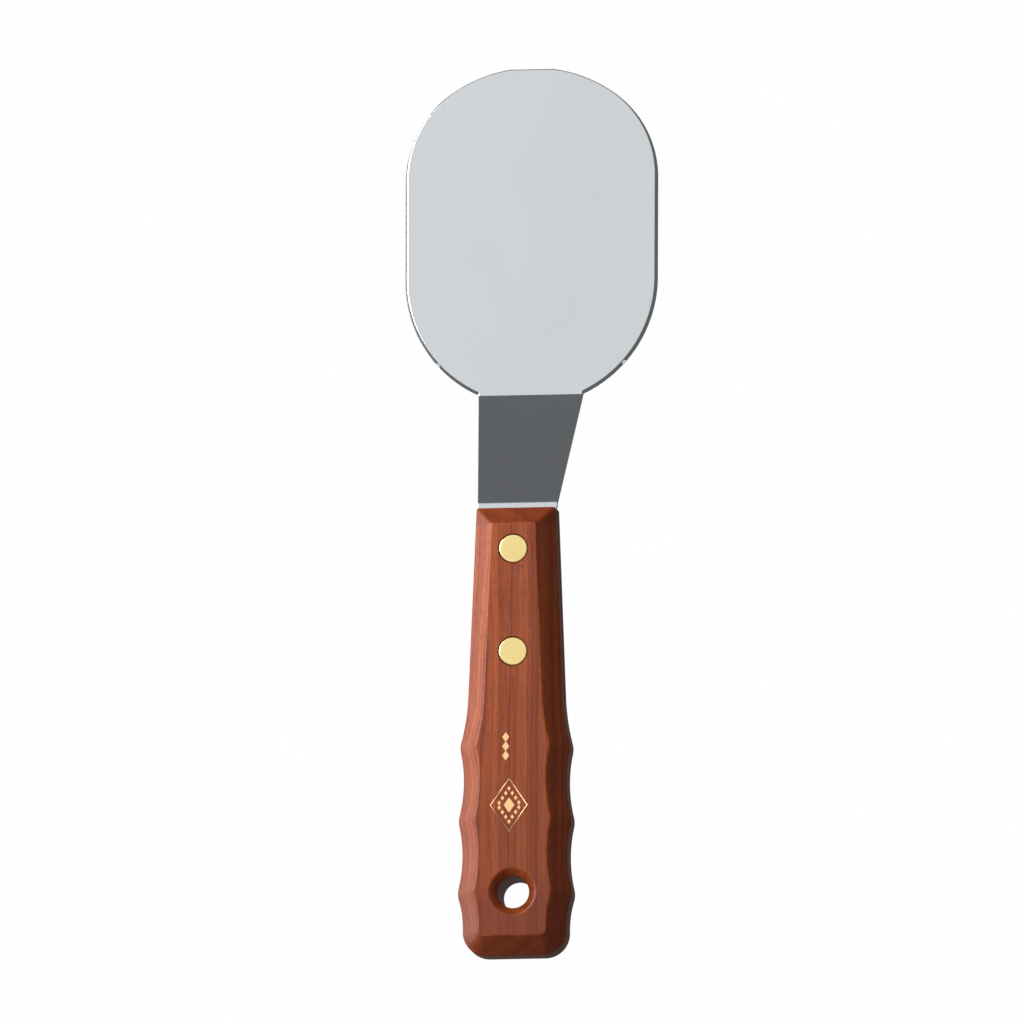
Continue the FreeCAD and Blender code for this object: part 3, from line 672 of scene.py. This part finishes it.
def handle_half(shape, wear_layer, upper):
    """The outside loops, the flat face, the rivets' seats and the kerf's face of one half."""
    way = 1 if upper else -1
    loops = []
    for inset, height, wear in bevel_section():
        points = [
            (x + nx * inset, y + ny * inset, HANDLE_MIDDLE + way * height)
            for x, y, nx, ny in handle_plan
        ]
        loops.append(add_loop(shape, points, wear_layer, wear))
    for lower, higher in zip(loops, loops[1:]):
        join_loops(shape, lower, higher)

    seats, bores = [], []
    seat = RIVET_HEAD_RADIUS + SEAT_GAP
    top = HANDLE_HALF_THICKNESS
    section = [
        (seat + 0.12, top, 0.6),
        (seat, top - 0.12, 0.3),
        (seat, top - RIVET_HEAD_THICKNESS, 0),
        (BORE_RADIUS, top - RIVET_HEAD_THICKNESS, 0),
        (BORE_RADIUS, KERF_HALF, 0),
    ]
    for y in RIVET_YS:
        rings = [
            ring_of(shape, (0, y), radius, HANDLE_MIDDLE + way * height, 48, wear_layer, wear)
            for radius, height, wear in section
        ]
        for outer, inner in zip(rings, rings[1:]):
            join_loops(shape, outer, inner)
        seats.append(rings[0])
        bores.append(rings[-1])
    hole = [
        ring_of(shape, (0, HANG_HOLE_Y), radius, HANDLE_MIDDLE + way * height, 64, wear_layer, wear)
        for radius, height, wear in hang_hole_section()
    ]
    for outer, inner in zip(hole, hole[1:]):
        join_loops(shape, outer, inner)
    fill_plate(shape, loops[-1], seats + [hole[0]])
    kerf_face = [corner for corner in loops[0] if corner.co.y > KERF_END_Y - 1e-3]
    fill_plate(shape, kerf_face, bores)
    return loops[0], hole[-1]


# %% [markdown]
# ### The kerf and the whole handle
# The tang slides into a saw kerf that runs right across the mouth, so the two halves only
# meet behind it. The outside wall is closed between the halves from the kerf's end to the
# butt, the kerf's end gets its own small wall, and one bore joins the two mouths of the
# hanging hole.

# %% Make the handle
def make_handle():
    shape, wear_layer = new_shape()
    upper, upper_hole = handle_half(shape, wear_layer, upper=True)
    lower, lower_hole = handle_half(shape, wear_layer, upper=False)
    join_loops(shape, upper_hole, lower_hole)
    behind = [n for n, corner in enumerate(upper) if corner.co.y < KERF_END_Y + 1e-3]
    for n, m in zip(behind, behind[1:]):
        shape.faces.new((upper[n], upper[m], lower[m], lower[n]))
    n, m = behind[0], behind[-1]
    shape.faces.new((upper[n], upper[m], lower[m], lower[n]))
    piece = finish_mesh(shape, "handle_block", wood, sharp_over=35)
    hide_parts("handle")
    return piece


make_handle()

# %% [markdown]
# ## The blade
# The steel is blanked from a sheet 1.2 mm thick and then bent twice, up at the heel and level
# again at the handle. So it is modelled flat first: an outline of seven arcs and lines, and
# a section with a ground bevel along the blade's edge that narrows to a hairline at the tip
# and fades into a plain eased edge on the neck. Every point is then lifted onto the bent
# sheet by its distance along the knife.

# %% The outline of the blade, neck and tang
BLADE_HALF = 35.5
TIP_HALF_FLAT = 6.1
TIP_BLEND = 12.0
TIP_CORNER = 29.45
TIP_CROWN = 39.85
TIP_GRIND = 0.15
HEEL_RADIUS = 35.65
HEEL_LAND = 0.6
NECK_FILLET = 0.6
NECK_HALF = (14.7, 11.05)
BEND_INSIDE = 0.4
TANG_HALF, TANG_CORNER = 10.0, 4.0

slope = atan2(NECK_RISE, NECK_RUN)
heel_bend_y = (BEND_INSIDE + SHEET) * tan(slope / 2)
tang_bend_y = -NECK_RUN - BEND_INSIDE * tan(slope / 2)


def neck_marks(top_y, out, up_neck):
    """The neck's side and the tang, with marks close together where the sheet bends."""
    levels = [top_y]
    for centre, ways in ((heel_bend_y, -1), (tang_bend_y, 1)):
        steps = [centre + ways * (BEND_INSIDE + SHEET) * sin(slope) * n / 10 for n in range(-1, 12)]
        levels += steps
    levels += [-1.5 - n * 1.2 for n in range(25)]
    levels = sorted((y for y in levels if MOUTH_Y + 0.4 < y <= top_y), reverse=True)
    marks = []
    for y in levels:
        x = NECK_HALF[1] + (y - MOUTH_Y) * up_neck[0] / up_neck[1]
        marks.append((x, y, -out[0], -out[1], 0))
    marks.append((NECK_HALF[1], MOUTH_Y + 0.05, -out[0], -out[1], 0))
    shoulder_y = MOUTH_Y - 0.5
    end_y = TANG_END_Y + TANG_CORNER
    marks += [(*m, 0) for m in walk_line((TANG_HALF, shoulder_y), (TANG_HALF, end_y), 20)]
    centre = (TANG_HALF - TANG_CORNER, end_y)
    marks += [(*m, 0) for m in walk_arc(centre, TANG_CORNER, 0, -90, 10)]
    marks.append((centre[0], TANG_END_Y, 0, 1, 0))
    return marks


def blade_marks():
    """The right-hand half, from the end of the tip's flat to the middle of the tang's end.

    Each mark ends with 1 where the edge is ground, 0 where it is plain, or a share between.
    """
    crown = (0, TIP_Y - sqrt(TIP_CROWN**2 - TIP_HALF_FLAT**2))
    lean = asin((BLADE_HALF - TIP_CORNER) / (TIP_CROWN - TIP_CORNER))
    corner = (BLADE_HALF - TIP_CORNER, crown[1] + (TIP_CROWN - TIP_CORNER) * cos(lean))
    blend_y = TIP_Y - TIP_BLEND
    blend = (sqrt((TIP_CROWN - TIP_BLEND) ** 2 - (blend_y - crown[1]) ** 2), blend_y)
    blend_angle, corner_angle = angle_of(crown, blend), 90 - degrees(lean)
    heel_x = BLADE_HALF - HEEL_RADIUS
    heel = (heel_x, HEEL_LAND + sqrt(HEEL_RADIUS**2 - (NECK_HALF[0] - heel_x) ** 2))

    neck_run = (NECK_HALF[0] - NECK_HALF[1], HEEL_LAND - MOUTH_Y)
    neck_long = hypot(*neck_run)
    up_neck = (neck_run[0] / neck_long, neck_run[1] / neck_long)
    out = (up_neck[1], -up_neck[0])
    base = tuple((NECK_HALF[0], HEEL_LAND)[i] + NECK_FILLET * out[i] - heel[i] for i in (0, 1))
    b = base[0] * up_neck[0] + base[1] * up_neck[1]
    c = base[0] ** 2 + base[1] ** 2 - (HEEL_RADIUS + NECK_FILLET) ** 2
    along = -b - sqrt(b**2 - c)
    fillet = tuple(base[i] + heel[i] + up_neck[i] * along for i in (0, 1))
    fillet_start = angle_of(fillet, heel) % 360
    fillet_end = angle_of((0, 0), (-out[0], -out[1])) % 360

    marks = [(*m, TIP_GRIND) for m in walk_arc(blend, TIP_BLEND, 90, blend_angle, 8)]
    marks += [(*m, TIP_GRIND) for m in walk_arc(crown, TIP_CROWN, blend_angle, corner_angle, 24)]
    turning = walk_arc(corner, TIP_CORNER, corner_angle, 0, 44)
    marks += [(*m, TIP_GRIND + (1 - TIP_GRIND) * n / 44) for n, m in enumerate(turning)]
    marks += [(*m, 1) for m in walk_line((BLADE_HALF, corner[1]), (BLADE_HALF, heel[1]), 18)]
    marks += [(*m, 1) for m in walk_arc(heel, HEEL_RADIUS, 0, fillet_start - 180, 56)]
    turning = walk_arc(fillet, NECK_FILLET, fillet_start, fillet_end, 8)
    marks += [(*m, 1 - n / 8) for n, m in enumerate(turning)]

    top = tuple(fillet[i] - NECK_FILLET * out[i] for i in (0, 1))
    return marks + neck_marks(top[1], out, up_neck)


def sheet_height(y, share):
    """How high the bent sheet stands at y, from its underside (share 0) to its face (share 1)."""
    face = SHEET * share
    heel_radius, tang_radius = BEND_INSIDE + SHEET - face, BEND_INSIDE + face
    if y >= heel_bend_y:
        return face
    if y > heel_bend_y - heel_radius * sin(slope):
        return BEND_INSIDE + SHEET - sqrt(heel_radius**2 - (y - heel_bend_y) ** 2)
    if y > tang_bend_y + tang_radius * sin(slope):
        return face + (face * tan(slope / 2) - y) * tan(slope)
    top = NECK_RISE - BEND_INSIDE
    if y > tang_bend_y:
        return top + sqrt(tang_radius**2 - (y - tang_bend_y) ** 2)
    return top + tang_radius


blade_half = blade_marks()
print("blade marks:", len(blade_half), "neck slope, degrees:", round(degrees(slope), 2))

# %% [markdown]
# ### Grinding the edge
# On a real blade the wheel takes a narrow slope off the upper edge and stops at a small nick on
# each side of the heel, where the neck would get in its way. The nicks and the tang's rivet
# holes are drilled from the finished sheet with a Boolean modifier, as they are in a workshop.

# %% The sections of the ground and the plain edge
GROUND_WIDTH, GROUND_DEPTH = 0.8, 0.5


def edge_sections():
    """Levels from the underside to the face: how far in, how high and how worn."""
    under = [(0.4, 0, 0), (0.12, 0, 0.2), (0.035, 0.035, 0.5), (0, 0.12, 0.2)]
    low, high = (0, SHEET - GROUND_DEPTH), (GROUND_WIDTH, SHEET)
    ground = [(*p, 0.7) for p in eased_corner(low, (0, 0), high, 0.12, 3)]
    ground += [(*p, 0.5) for p in eased_corner(high, low, (9, SHEET), 0.5, 3)]
    plain = [(*p, 0.6) for p in eased_corner((0, SHEET), (0, 0), (9, SHEET), 0.14, 7)]
    return (
        under + ground + [(GROUND_WIDTH + 0.3, SHEET, 0)],
        under + plain + [(0.4, SHEET, 0)],
    )


# %% [markdown]
# ### Skinning and drilling
# The outline's levels are joined like hoops, and the two flat sides are filled in rows, so that
# the sheet can bend between them. The Boolean needs a clean, closed shape: a face with no
# area, or a drill corner that falls exactly on a row's corner, leaves slivers behind.

# %% Make the blade
NICK_RADIUS = 0.7
NICK_ABOVE_LAND = 8.5
COLUMNS = 21  # odd, so that no row has a corner where the drill has one


def drill(piece, places):
    """Cuts a round hole at each (x, y, radius, low, high), given on the drawing."""
    shape = bmesh.new()
    wear_layer = shape.verts.layers.float.new("edge_wear")
    for x, y, radius, low, high in places:
        rings = [ring_of(shape, (x, y), radius, z, 32, wear_layer, 0) for z in (low, high)]
        join_loops(shape, *rings)
        shape.faces.new(list(reversed(rings[0])))
        shape.faces.new(rings[1])
    bmesh.ops.transform(shape, matrix=lay_down, verts=shape.verts)
    bmesh.ops.recalc_face_normals(shape, faces=shape.faces)
    bit = bpy.data.objects.new("drill_bit", bpy.data.meshes.new("drill_bit"))
    shape.to_mesh(bit.data)
    shape.free()
    bpy.context.scene.collection.objects.link(bit)
    cut = piece.modifiers.new("drilling", "BOOLEAN")
    cut.operation, cut.solver, cut.object = "DIFFERENCE", "EXACT", bit
    ready = piece.evaluated_get(bpy.context.evaluated_depsgraph_get())
    drilled = bpy.data.meshes.new_from_object(ready)
    piece.modifiers.clear()
    piece.data = drilled
    bpy.data.objects.remove(bit)
    return piece


def skin_side(shape, loop):
    """Quads across one flat side in rows. Each end row is one plain edge."""
    half = len(loop) // 2
    rows = []
    for n in range(half):
        right, left = loop[n], loop[-1 - n]
        if n in (0, half - 1):
            rows.append([right, left])
            continue
        between = [
            shape.verts.new(right.co.lerp(left.co, m / COLUMNS)) for m in range(1, COLUMNS)
        ]
        rows.append([right, *between, left])
    for row, after in zip(rows, rows[1:]):
        if len(row) != len(after):
            shape.faces.new([*row, *reversed(after)])
            continue
        for m in range(COLUMNS):
            shape.faces.new((row[m], row[m + 1], after[m + 1], after[m]))


def drilled_places():
    """The two nicks and the tang's two rivet holes, as (x, y, radius, low, high)."""
    heel_x = BLADE_HALF - HEEL_RADIUS
    rise = sqrt(HEEL_RADIUS**2 - (NECK_HALF[0] - heel_x) ** 2)
    nick_x = sqrt(HEEL_RADIUS**2 - (rise - NICK_ABOVE_LAND) ** 2) + heel_x
    places = [
        (side * nick_x, HEEL_LAND + NICK_ABOVE_LAND, NICK_RADIUS, SHEET - GROUND_DEPTH, 3)
        for side in (1, -1)
    ]
    places += [(0, y, BORE_RADIUS, NECK_RISE - 1, NECK_RISE + SHEET + 1) for y in RIVET_YS]
    return places


def make_blade():
    shape, wear_layer = new_shape()
    loops = []
    for (g_in, g_up, g_wear), (p_in, p_up, p_wear) in zip(*edge_sections()):
        right = []
        for x, y, nx, ny, ground in blade_half:
            inset = g_in * ground + p_in * (1 - ground)
            share = (g_up * ground + p_up * (1 - ground)) / SHEET
            px, py = x + nx * inset, y + ny * inset
            right.append((px, py, sheet_height(py, 0) * (1 - share) + sheet_height(py, 1) * share))
        left = [(-px, py, pz) for px, py, pz in reversed(right)]
        wear = (g_wear + p_wear) / 2
        loops.append(add_loop(shape, right + left, wear_layer, wear))
    for lower, higher in zip(loops, loops[1:]):
        join_loops(shape, lower, higher)

    for loop in (loops[0], loops[-1]):
        skin_side(shape, loop)
    piece = finish_mesh(shape, "blade_and_neck", steel, sharp_over=40)
    drill(piece, drilled_places())
    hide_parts("blade")
    return piece


blade = make_blade()
print("blade after drilling, faces:", len(blade.data.polygons))

# %% [markdown]
# ## The rivets
# A cutler's rivet comes in two halves: a stud with a solid shank and a tube that grips it. The
# same half goes in at two places along the tang, so each half is turned once, as on a lathe,
# and a small Geometry Nodes tree sets it down at both places. The tree takes the half, the two
# places and the way it faces, and ends by making real geometry with its brass on.

# %% Turn a rivet half
def turned(name, section, sides=48):
    """A closed shape turned round Z, from a section of (radius, height, wear) marks."""
    shape, wear_layer = new_shape()
    rings = []
    for radius, height, wear in section:
        if radius == 0:
            rings.append(add_loop(shape, [(0, 0, height)], wear_layer, wear))
        else:
            rings.append(ring_of(shape, (0, 0), radius, height, sides, wear_layer, wear))
    for before, after in zip(rings, rings[1:]):
        if len(before) == 1 or len(after) == 1:
            pole, ring = (before[0], after) if len(before) == 1 else (after[0], before)
            for n in range(sides):
                shape.faces.new((pole, ring[n], ring[(n + 1) % sides]))
        else:
            join_loops(shape, before, after)
    bmesh.ops.recalc_face_normals(shape, faces=shape.faces)
    mesh = bpy.data.meshes.new(name)
    shape.to_mesh(mesh)
    shape.free()
    mesh.polygons.foreach_set("use_smooth", [True] * len(mesh.polygons))
    mesh.set_sharp_from_angle(angle=radians(40))
    piece = bpy.data.objects.new(name, mesh)
    bpy.context.scene.collection.objects.link(piece)
    return piece


def head_section():
    """The filed face, its eased rim and the underside, out to where the shank starts."""
    radius, rim = RIVET_HEAD_RADIUS, 0.38
    face = [(0, 0.02, 0), (radius * 0.45, 0.016, 0), (radius * 0.8, 0.004, 0.1)]
    eased = eased_corner((radius, 0), (0, 0), (radius, -5), rim, 5)
    return face + [(*p, 1) for p in eased] + [(radius, -RIVET_HEAD_THICKNESS, 0)]


def rivet_section(shank_radius, shank_length, bore_radius=0, bore_floor=0):
    section = head_section() + [(shank_radius, -RIVET_HEAD_THICKNESS, 0)]
    end = -shank_length
    section += [(shank_radius, end + 0.2, 0), (shank_radius - 0.2, end, 0)]
    if bore_radius:
        section += [(bore_radius + 0.1, end, 0), (bore_radius, end + 0.1, 0)]
        section += [(bore_radius, -bore_floor, 0), (0, -bore_floor, 0)]
    else:
        section.append((0, end, 0))
    return section


# %% [markdown]
# ### A tree that repeats a rivet
# Instances are cheap copies that a tree puts on points. Here the points are the two ends of a
# line. Realizing the instances turns the copies into ordinary faces.

# %% The tree that sets a rivet half down at its two places
def rivet_row_tree():
    tree = bpy.data.node_groups.new("rivet_row", "GeometryNodeTree")
    bench = Bench(tree)
    wanted = (
        ("Rivet half", "NodeSocketObject"),
        ("First place", "NodeSocketVector"),
        ("Second place", "NodeSocketVector"),
        ("Turned over", "NodeSocketFloat"),
        ("Brass", "NodeSocketMaterial"),
    )
    for name, kind in wanted:
        tree.interface.new_socket(name, in_out="INPUT", socket_type=kind)
    tree.interface.new_socket("Rivets", in_out="OUTPUT", socket_type="NodeSocketGeometry")
    given = tree.nodes.new("NodeGroupInput")
    half, first, second, over, metal = (Wire(bench, given.outputs[name]) for name, _ in wanted)
    shape = bench.add("GeometryNodeObjectInfo", feeds={"Object": half}, out="Geometry")
    places = bench.add(
        "GeometryNodeMeshLine",
        {"mode": "END_POINTS"},
        {"Count": 2, "Start Location": first, "Offset": second},
        out=0,
    )
    turn = bench.add("ShaderNodeCombineXYZ", feeds={0: over * pi})
    rivets = bench.add(
        "GeometryNodeInstanceOnPoints", feeds={"Points": places, "Instance": shape, "Rotation": turn}
    )
    real = bench.add("GeometryNodeRealizeInstances", feeds={0: rivets})
    clad = bench.add("GeometryNodeSetMaterial", feeds={"Geometry": real, "Material": metal})
    bench.add("NodeGroupOutput", feeds={0: clad})
    return tree


def run_tree(name, tree, values):
    """Runs a tree once with these named inputs and returns its result as a plain object."""
    piece = bpy.data.objects.new(name, bpy.data.meshes.new(name))
    bpy.context.scene.collection.objects.link(piece)
    maker = piece.modifiers.new("maker", "NODES")
    maker.node_group = tree
    sockets = {s.name: s.identifier for s in tree.interface.items_tree if s.in_out == "INPUT"}
    for label, value in values.items():
        maker[sockets[label]] = value
    ready = piece.evaluated_get(bpy.context.evaluated_depsgraph_get())
    mesh = bpy.data.meshes.new_from_object(ready)
    piece.modifiers.clear()
    piece.data = mesh
    return piece


def finish_run(piece):
    """Lays what a tree made on the table, and says that it rides on the knife."""
    piece.data.transform(lay_down)
    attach(piece, "root")
    print(piece.name, "faces:", len(piece.data.polygons))
    return piece


# %% [markdown]
# ### Setting the rivets
# The studs go in from above and the tubes from below, turned over. A tube's bore is a hair
# wider than a stud's shank, and each goes down the same hole.

# %% Make the rivets
rivet_row = rivet_row_tree()
halves = (
    ("rivet_studs", rivet_section(1.6, 12.5), 1, 0.0, ("front_rivet_stud", "rear_rivet_stud")),
    ("rivet_tubes", rivet_section(2.4, 11.5, 1.62, 1.0), -1, 1.0, ("front_rivet_tube", "rear_rivet_tube")),
)
for name, section, side, over, stands_for in halves:
    half = turned(name + "_half", section)
    height = HANDLE_MIDDLE + side * HANDLE_HALF_THICKNESS
    values = {
        "Rivet half": half,
        "First place": (0, RIVET_YS[0], height),
        "Second place": (0, RIVET_YS[1], height),
        "Turned over": over,
        "Brass": brass,
    }
    rivets = finish_run(run_tree(name, rivet_row, values))
    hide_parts(*stands_for)
    bpy.data.objects.remove(half)

# %% [markdown]
# ## A foil ornament on the grip
# Handles like this one often carry a gold foil stamp. This one is a plain ornament: a lozenge
# outline with a ring of small diamonds in it, and a short row of three above. A Geometry
# Nodes tree bends a flat ribbon round the lozenge and sets diamonds along a smaller one, so
# the number and size of the diamonds stay easy to change. Each part is pressed a little
# into the wood, which keeps it from seeming to float.

# %% The tree that draws the ornament
FOIL_THICK = 0.03


def ornament_tree():
    tree = bpy.data.node_groups.new("foil_ornament", "GeometryNodeTree")
    bench = Bench(tree)
    wanted = (
        ("Half width", "NodeSocketFloat"),
        ("Half height", "NodeSocketFloat"),
        ("Line width", "NodeSocketFloat"),
        ("Diamonds", "NodeSocketInt"),
        ("Row centre", "NodeSocketVector"),
        ("Row step", "NodeSocketVector"),
        ("Middle", "NodeSocketVector"),
        ("Foil", "NodeSocketMaterial"),
    )
    for name, kind in wanted:
        tree.interface.new_socket(name, in_out="INPUT", socket_type=kind)
    tree.interface.new_socket("Ornament", in_out="OUTPUT", socket_type="NodeSocketGeometry")
    given = tree.nodes.new("NodeGroupInput")
    wires = [Wire(bench, given.outputs[name]) for name, _ in wanted]
    half_wide, half_high, line, count, row_start, row_step, middle, metal = wires

    def lozenge(share):
        feeds = {"Width": half_wide * (2 * share)}
        feeds |= {"Bottom Height": half_high * share, "Top Height": half_high * share}
        return bench.add("GeometryNodeCurvePrimitiveQuadrilateral", {"mode": "KITE"}, feeds)

    def diamonds(points, size):
        feeds = {"Vertices": 4, "Radius": line * size, "Depth": FOIL_THICK}
        shape = bench.add("GeometryNodeMeshCylinder", {}, feeds)
        feeds = {"Geometry": shape, "Scale": (1, 1.4, 1)}
        tall = bench.add("GeometryNodeTransform", {}, feeds)
        return bench.add("GeometryNodeInstanceOnPoints", {}, {"Points": points, "Instance": tall})

    ribbon = bench.add(
        "GeometryNodeCurvePrimitiveQuadrilateral",
        {"mode": "RECTANGLE"},
        {"Width": line, "Height": FOIL_THICK},
    )
    outline = bench.add("GeometryNodeCurveToMesh", {}, {"Curve": lozenge(1), "Profile Curve": ribbon})
    ring_points = bench.add(
        "GeometryNodeCurveToPoints", {"mode": "COUNT"}, {"Curve": lozenge(0.62), "Count": count}
    )
    centre_point = bench.add("GeometryNodeMeshLine", {}, {"Count": 1})
    row_points = bench.add(
        "GeometryNodeMeshLine", {}, {"Count": 3, "Start Location": row_start, "Offset": row_step}
    )
    parts = (outline, diamonds(ring_points, 1.3), diamonds(centre_point, 4), diamonds(row_points, 2.6))
    joined = tree.nodes.new("GeometryNodeJoinGeometry")
    for part in parts:
        tree.links.new(part.socket, joined.inputs[0])
    moved = bench.add(
        "GeometryNodeTransform", {}, {"Geometry": Wire(bench, joined.outputs[0]), "Translation": middle}
    )
    real = bench.add("GeometryNodeRealizeInstances", feeds={0: moved})
    clad = bench.add("GeometryNodeSetMaterial", feeds={"Geometry": real, "Material": metal})
    bench.add("NodeGroupOutput", feeds={0: clad})
    return tree


# %% [markdown]
# ### Where the ornament goes
# It stands in the middle of the grip between the ridges and the hanging hole, a sixth of its
# thickness above centre, so that most of it shows and a third is sunk in the wood.

# %% Press the ornament into the grip
ORNAMENT_MIDDLE = (-0.9, -119.3)
ORNAMENT_HALF = (5.2, 7.5)
foil_height = HANDLE_MIDDLE + HANDLE_HALF_THICKNESS + FOIL_THICK / 6
values = {
    "Half width": ORNAMENT_HALF[0],
    "Half height": ORNAMENT_HALF[1],
    "Line width": 0.38,
    "Diamonds": 14,
    "Row centre": (-1.0, 13.9, 0),
    "Row step": (0, 2.6, 0),
    "Middle": (*ORNAMENT_MIDDLE, foil_height),
    "Foil": foil,
}
ornament = finish_run(run_tree("grip_ornament", ornament_tree(), values))
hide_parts("handle")

# %% [markdown]
# ## Camera
# The view is from above and a little to the right of the knife, from so far away that nothing
# tapers with distance. A parallel camera gives exactly that. Its direction is given on the
# drawing's axes and turned with the knife, and its top follows the handle, so the knife stands
# upright in the view, but for a roll too small to notice that sets the handle's foot over.

# %% Place the camera
VIEW_FROM = Vector((0.1513, -0.1472, 0.977))
VIEW_CENTRE = Vector((-3.46, -34.0, 12.0))
VIEW_ROLL = radians(0.2)
VIEW_WIDTH = 284.5

camera_data = bpy.data.cameras.new("camera")
camera_data.type = "ORTHO"
camera_data.ortho_scale = VIEW_WIDTH * MM
camera = bpy.data.objects.new("camera", camera_data)
bpy.context.scene.collection.objects.link(camera)
bpy.context.scene.camera = camera
turn_over = lay_down.to_3x3().normalized()
back = (turn_over @ VIEW_FROM).normalized()
along_knife = turn_over @ Vector((0, 1, 0))
right = along_knife.cross(back).normalized()
up = back.cross(right)
place = lay_down @ VIEW_CENTRE + back * 1.4
facing = Matrix((right, up, back)).transposed().to_4x4()
camera.matrix_world = Matrix.Translation(place) @ facing @ Matrix.Rotation(VIEW_ROLL, 4, "Z")
camera_data.clip_start, camera_data.clip_end = 0.05, 50
print("camera at, m:", [round(c, 3) for c in place])

# %% [markdown]
# ## Studio
# The knife lies on a plain white sweep of paper that rises far away into a wall. The paper
# glows evenly for the camera and gives the knife no light of its own. The lights come from
# above and from the left, and a dim even surround keeps the far sides dark, which is what
# draws the shape of the neck and the grip.

# %% Paper sweep
def paper_sweep():
    finish, bench = new_finish("white_paper")
    grain = speckle(bench, bench.add("ShaderNodeTexCoord", out=3), 40, 2)
    glow = bench.add("ShaderNodeEmission", {}, {0: 0.99 + grain * 0.01, 1: 1.0})
    bench.add("ShaderNodeOutputMaterial", {}, {0: glow})
    shape = bmesh.new()
    wear_layer = shape.verts.layers.float.new("edge_wear")
    rim = [(3 * n / 6, 0) for n in range(1, 7)]
    rim += [(3 + 2 * sin(radians(a)), 2 - 2 * cos(radians(a))) for a in range(10, 91, 10)]
    rim.append((5, 6))
    rings = [ring_of(shape, (0, 0), radius, height, 72, wear_layer) for radius, height in rim]
    for before, after in zip(rings, rings[1:]):
        join_loops(shape, before, after)
    shape.faces.new(rings[0])
    bmesh.ops.recalc_face_normals(shape, faces=shape.faces)
    mesh = bpy.data.meshes.new("paper_sweep")
    shape.to_mesh(mesh)
    shape.free()
    mesh.materials.append(finish)
    sweep = bpy.data.objects.new("paper_sweep", mesh)
    bpy.context.scene.collection.objects.link(sweep)
    sweep.location.z = -0.0004
    sweep.visible_diffuse = False
    sweep.visible_glossy = False
    sweep.visible_shadow = False


paper_sweep()

# %% [markdown]
# ### Lights
# Each light is a soft rectangle that faces the knife from a given direction. The panel overhead
# is large because a flat, satin blade mirrors it. The low card on the left mostly reaches
# surfaces that lean to the left, and gives the wood's left bevel its sheen.

# %% Lights and surround
def soft_box(name, towards, far, wide, high, watts):
    """A square light that hangs in a direction from the knife and faces it."""
    data = bpy.data.lights.new(name, "AREA")
    data.shape, data.size, data.size_y = "RECTANGLE", wide, high
    data.energy = watts
    box = bpy.data.objects.new(name, data)
    way = Vector(towards).normalized()
    box.location = way * far
    box.rotation_mode = "QUATERNION"
    box.rotation_quaternion = way.to_track_quat("Z", "Y")
    box.visible_camera = False
    bpy.context.scene.collection.objects.link(box)
    return box


soft_box("overhead_panel", (-0.15, 0.053, 0.988), 2.0, 1.7, 1.7, 7.15)
soft_box("left_soft_box", (-0.68, 0.2, 0.7), 1.6, 0.8, 0.8, 27)
soft_box("left_card", (-0.98, 0.14, -0.1), 1.2, 1.8, 0.5, 9)

world = bpy.data.worlds.new("studio")
bpy.context.scene.world = world
world.use_nodes = True
surround = world.node_tree.nodes["Background"]
surround.inputs[0].default_value = rgb(0.96, 0.98, 1.0)
surround.inputs[1].default_value = 0.17
bpy.context.scene.view_settings.view_transform = "Standard"
bpy.context.scene.view_settings.look = "None"
